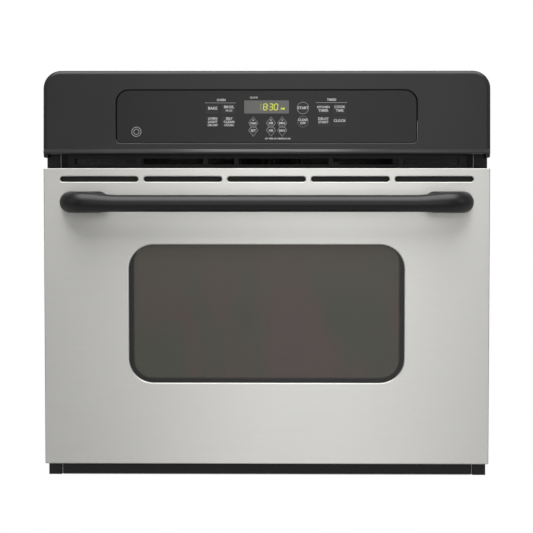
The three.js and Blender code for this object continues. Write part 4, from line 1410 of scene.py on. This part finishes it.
def pale_stage(name, low, high):
    """A closed block with its corners at low and high, white to the eye."""
    paint = Finish(f"{name}_paint", {"Roughness": 0.9, "Specular IOR Level": 0.0})
    mottle = paint.noise(3.0, 2.0)
    paint.feed(color=paint.blend(mottle, (0.38, 0.38, 0.38, 1), (0.42, 0.42, 0.42, 1)))
    white = paint.tree.nodes.new("ShaderNodeEmission")
    white.inputs["Color"].default_value = (1, 1, 1, 1)
    out = glow_to_eye(paint.tree, white.outputs[0], paint.shader.outputs[0])
    paint.tree.links.new(out, paint.tree.nodes["Material Output"].inputs["Surface"])
    x, y, z = zip(low, high)
    base = [(x[0], y[0]), (x[1], y[0]), (x[1], y[1]), (x[0], y[1])]
    corners = [(*p, z[0]) for p in base] + [(*p, z[1]) for p in base]
    mesh = bpy.data.meshes.new(name)
    mesh.from_pydata(corners, [], [(3, 2, 1, 0), (4, 5, 6, 7), *ring_faces(2, 4)])
    mesh.materials.append(paint.material)
    block = bpy.data.objects.new(name, mesh)
    bpy.context.scene.collection.objects.link(block)


pale_stage("stand", (-0.42, -0.235, -0.24), (0.42, 0.40, 0.0))
pale_stage("floor", (-2.2, -0.95, -0.26), (2.2, 2.2, -0.24))
print("stand and floor")

# %% [markdown]
# A tall soft light behind the camera makes the broad bright band in the steel; the steel
# darkens towards both sides because the light ends there. A wide one overhead draws the
# light lines on every edge that looks up, two weak ones fill the sides, and one behind
# shows the rear cover.

# %% Lights
def soft_light(name, place, target, width, height, power):
    """A rectangular soft light that faces its target."""
    lamp = bpy.data.lights.new(name, "AREA")
    lamp.shape = "RECTANGLE"
    lamp.size, lamp.size_y, lamp.energy = width, height, power
    holder = bpy.data.objects.new(name, lamp)
    bpy.context.scene.collection.objects.link(holder)
    holder.location = place
    way = np.asarray(target, float) - place
    way /= np.linalg.norm(way)
    holder.rotation_euler = (math.acos(-way[2]), 0, math.atan2(-way[0], way[1]))
    print(name, power, "W")


soft_light("front_softbox", (0.14, -5.2, 0.7), (0, 0, 0.35), 1.15, 3.6, 22)
soft_light("top_softbox", (0.0, -1.0, 2.6), (0, -0.1, 0.4), 3.2, 2.6, 98)
soft_light("left_fill", (-3.2, -1.6, 1.3), (0, 0, 0.35), 1.2, 1.8, 4)
soft_light("right_fill", (3.2, -1.6, 1.3), (0, 0, 0.35), 1.2, 1.8, 6)
soft_light("rear_softbox", (0.6, 2.6, 1.8), (0, 0.3, 0.35), 2.2, 1.4, 42)

# %% [markdown]
# The room itself gives an even soft grey from all sides, which fills the deepest shadows.
# The plain view transform keeps white white and leaves the greys as they were chosen.

# %% Room light
world = bpy.data.worlds.new("studio_room")
bpy.context.scene.world = world
world.use_nodes = True
room = world.node_tree
wall = room.nodes["Background"]
wall.inputs["Color"].default_value = (0.30, 0.30, 0.30, 1)
open_white = room.nodes.new("ShaderNodeBackground")
open_white.inputs["Color"].default_value = (1, 1, 1, 1)
both = glow_to_eye(room, open_white.outputs[0], wall.outputs[0])
room.links.new(both, room.nodes["World Output"].inputs["Surface"])
bpy.context.scene.view_settings.view_transform = "Standard"
bpy.context.scene.view_settings.look = "None"
print("studio lit")
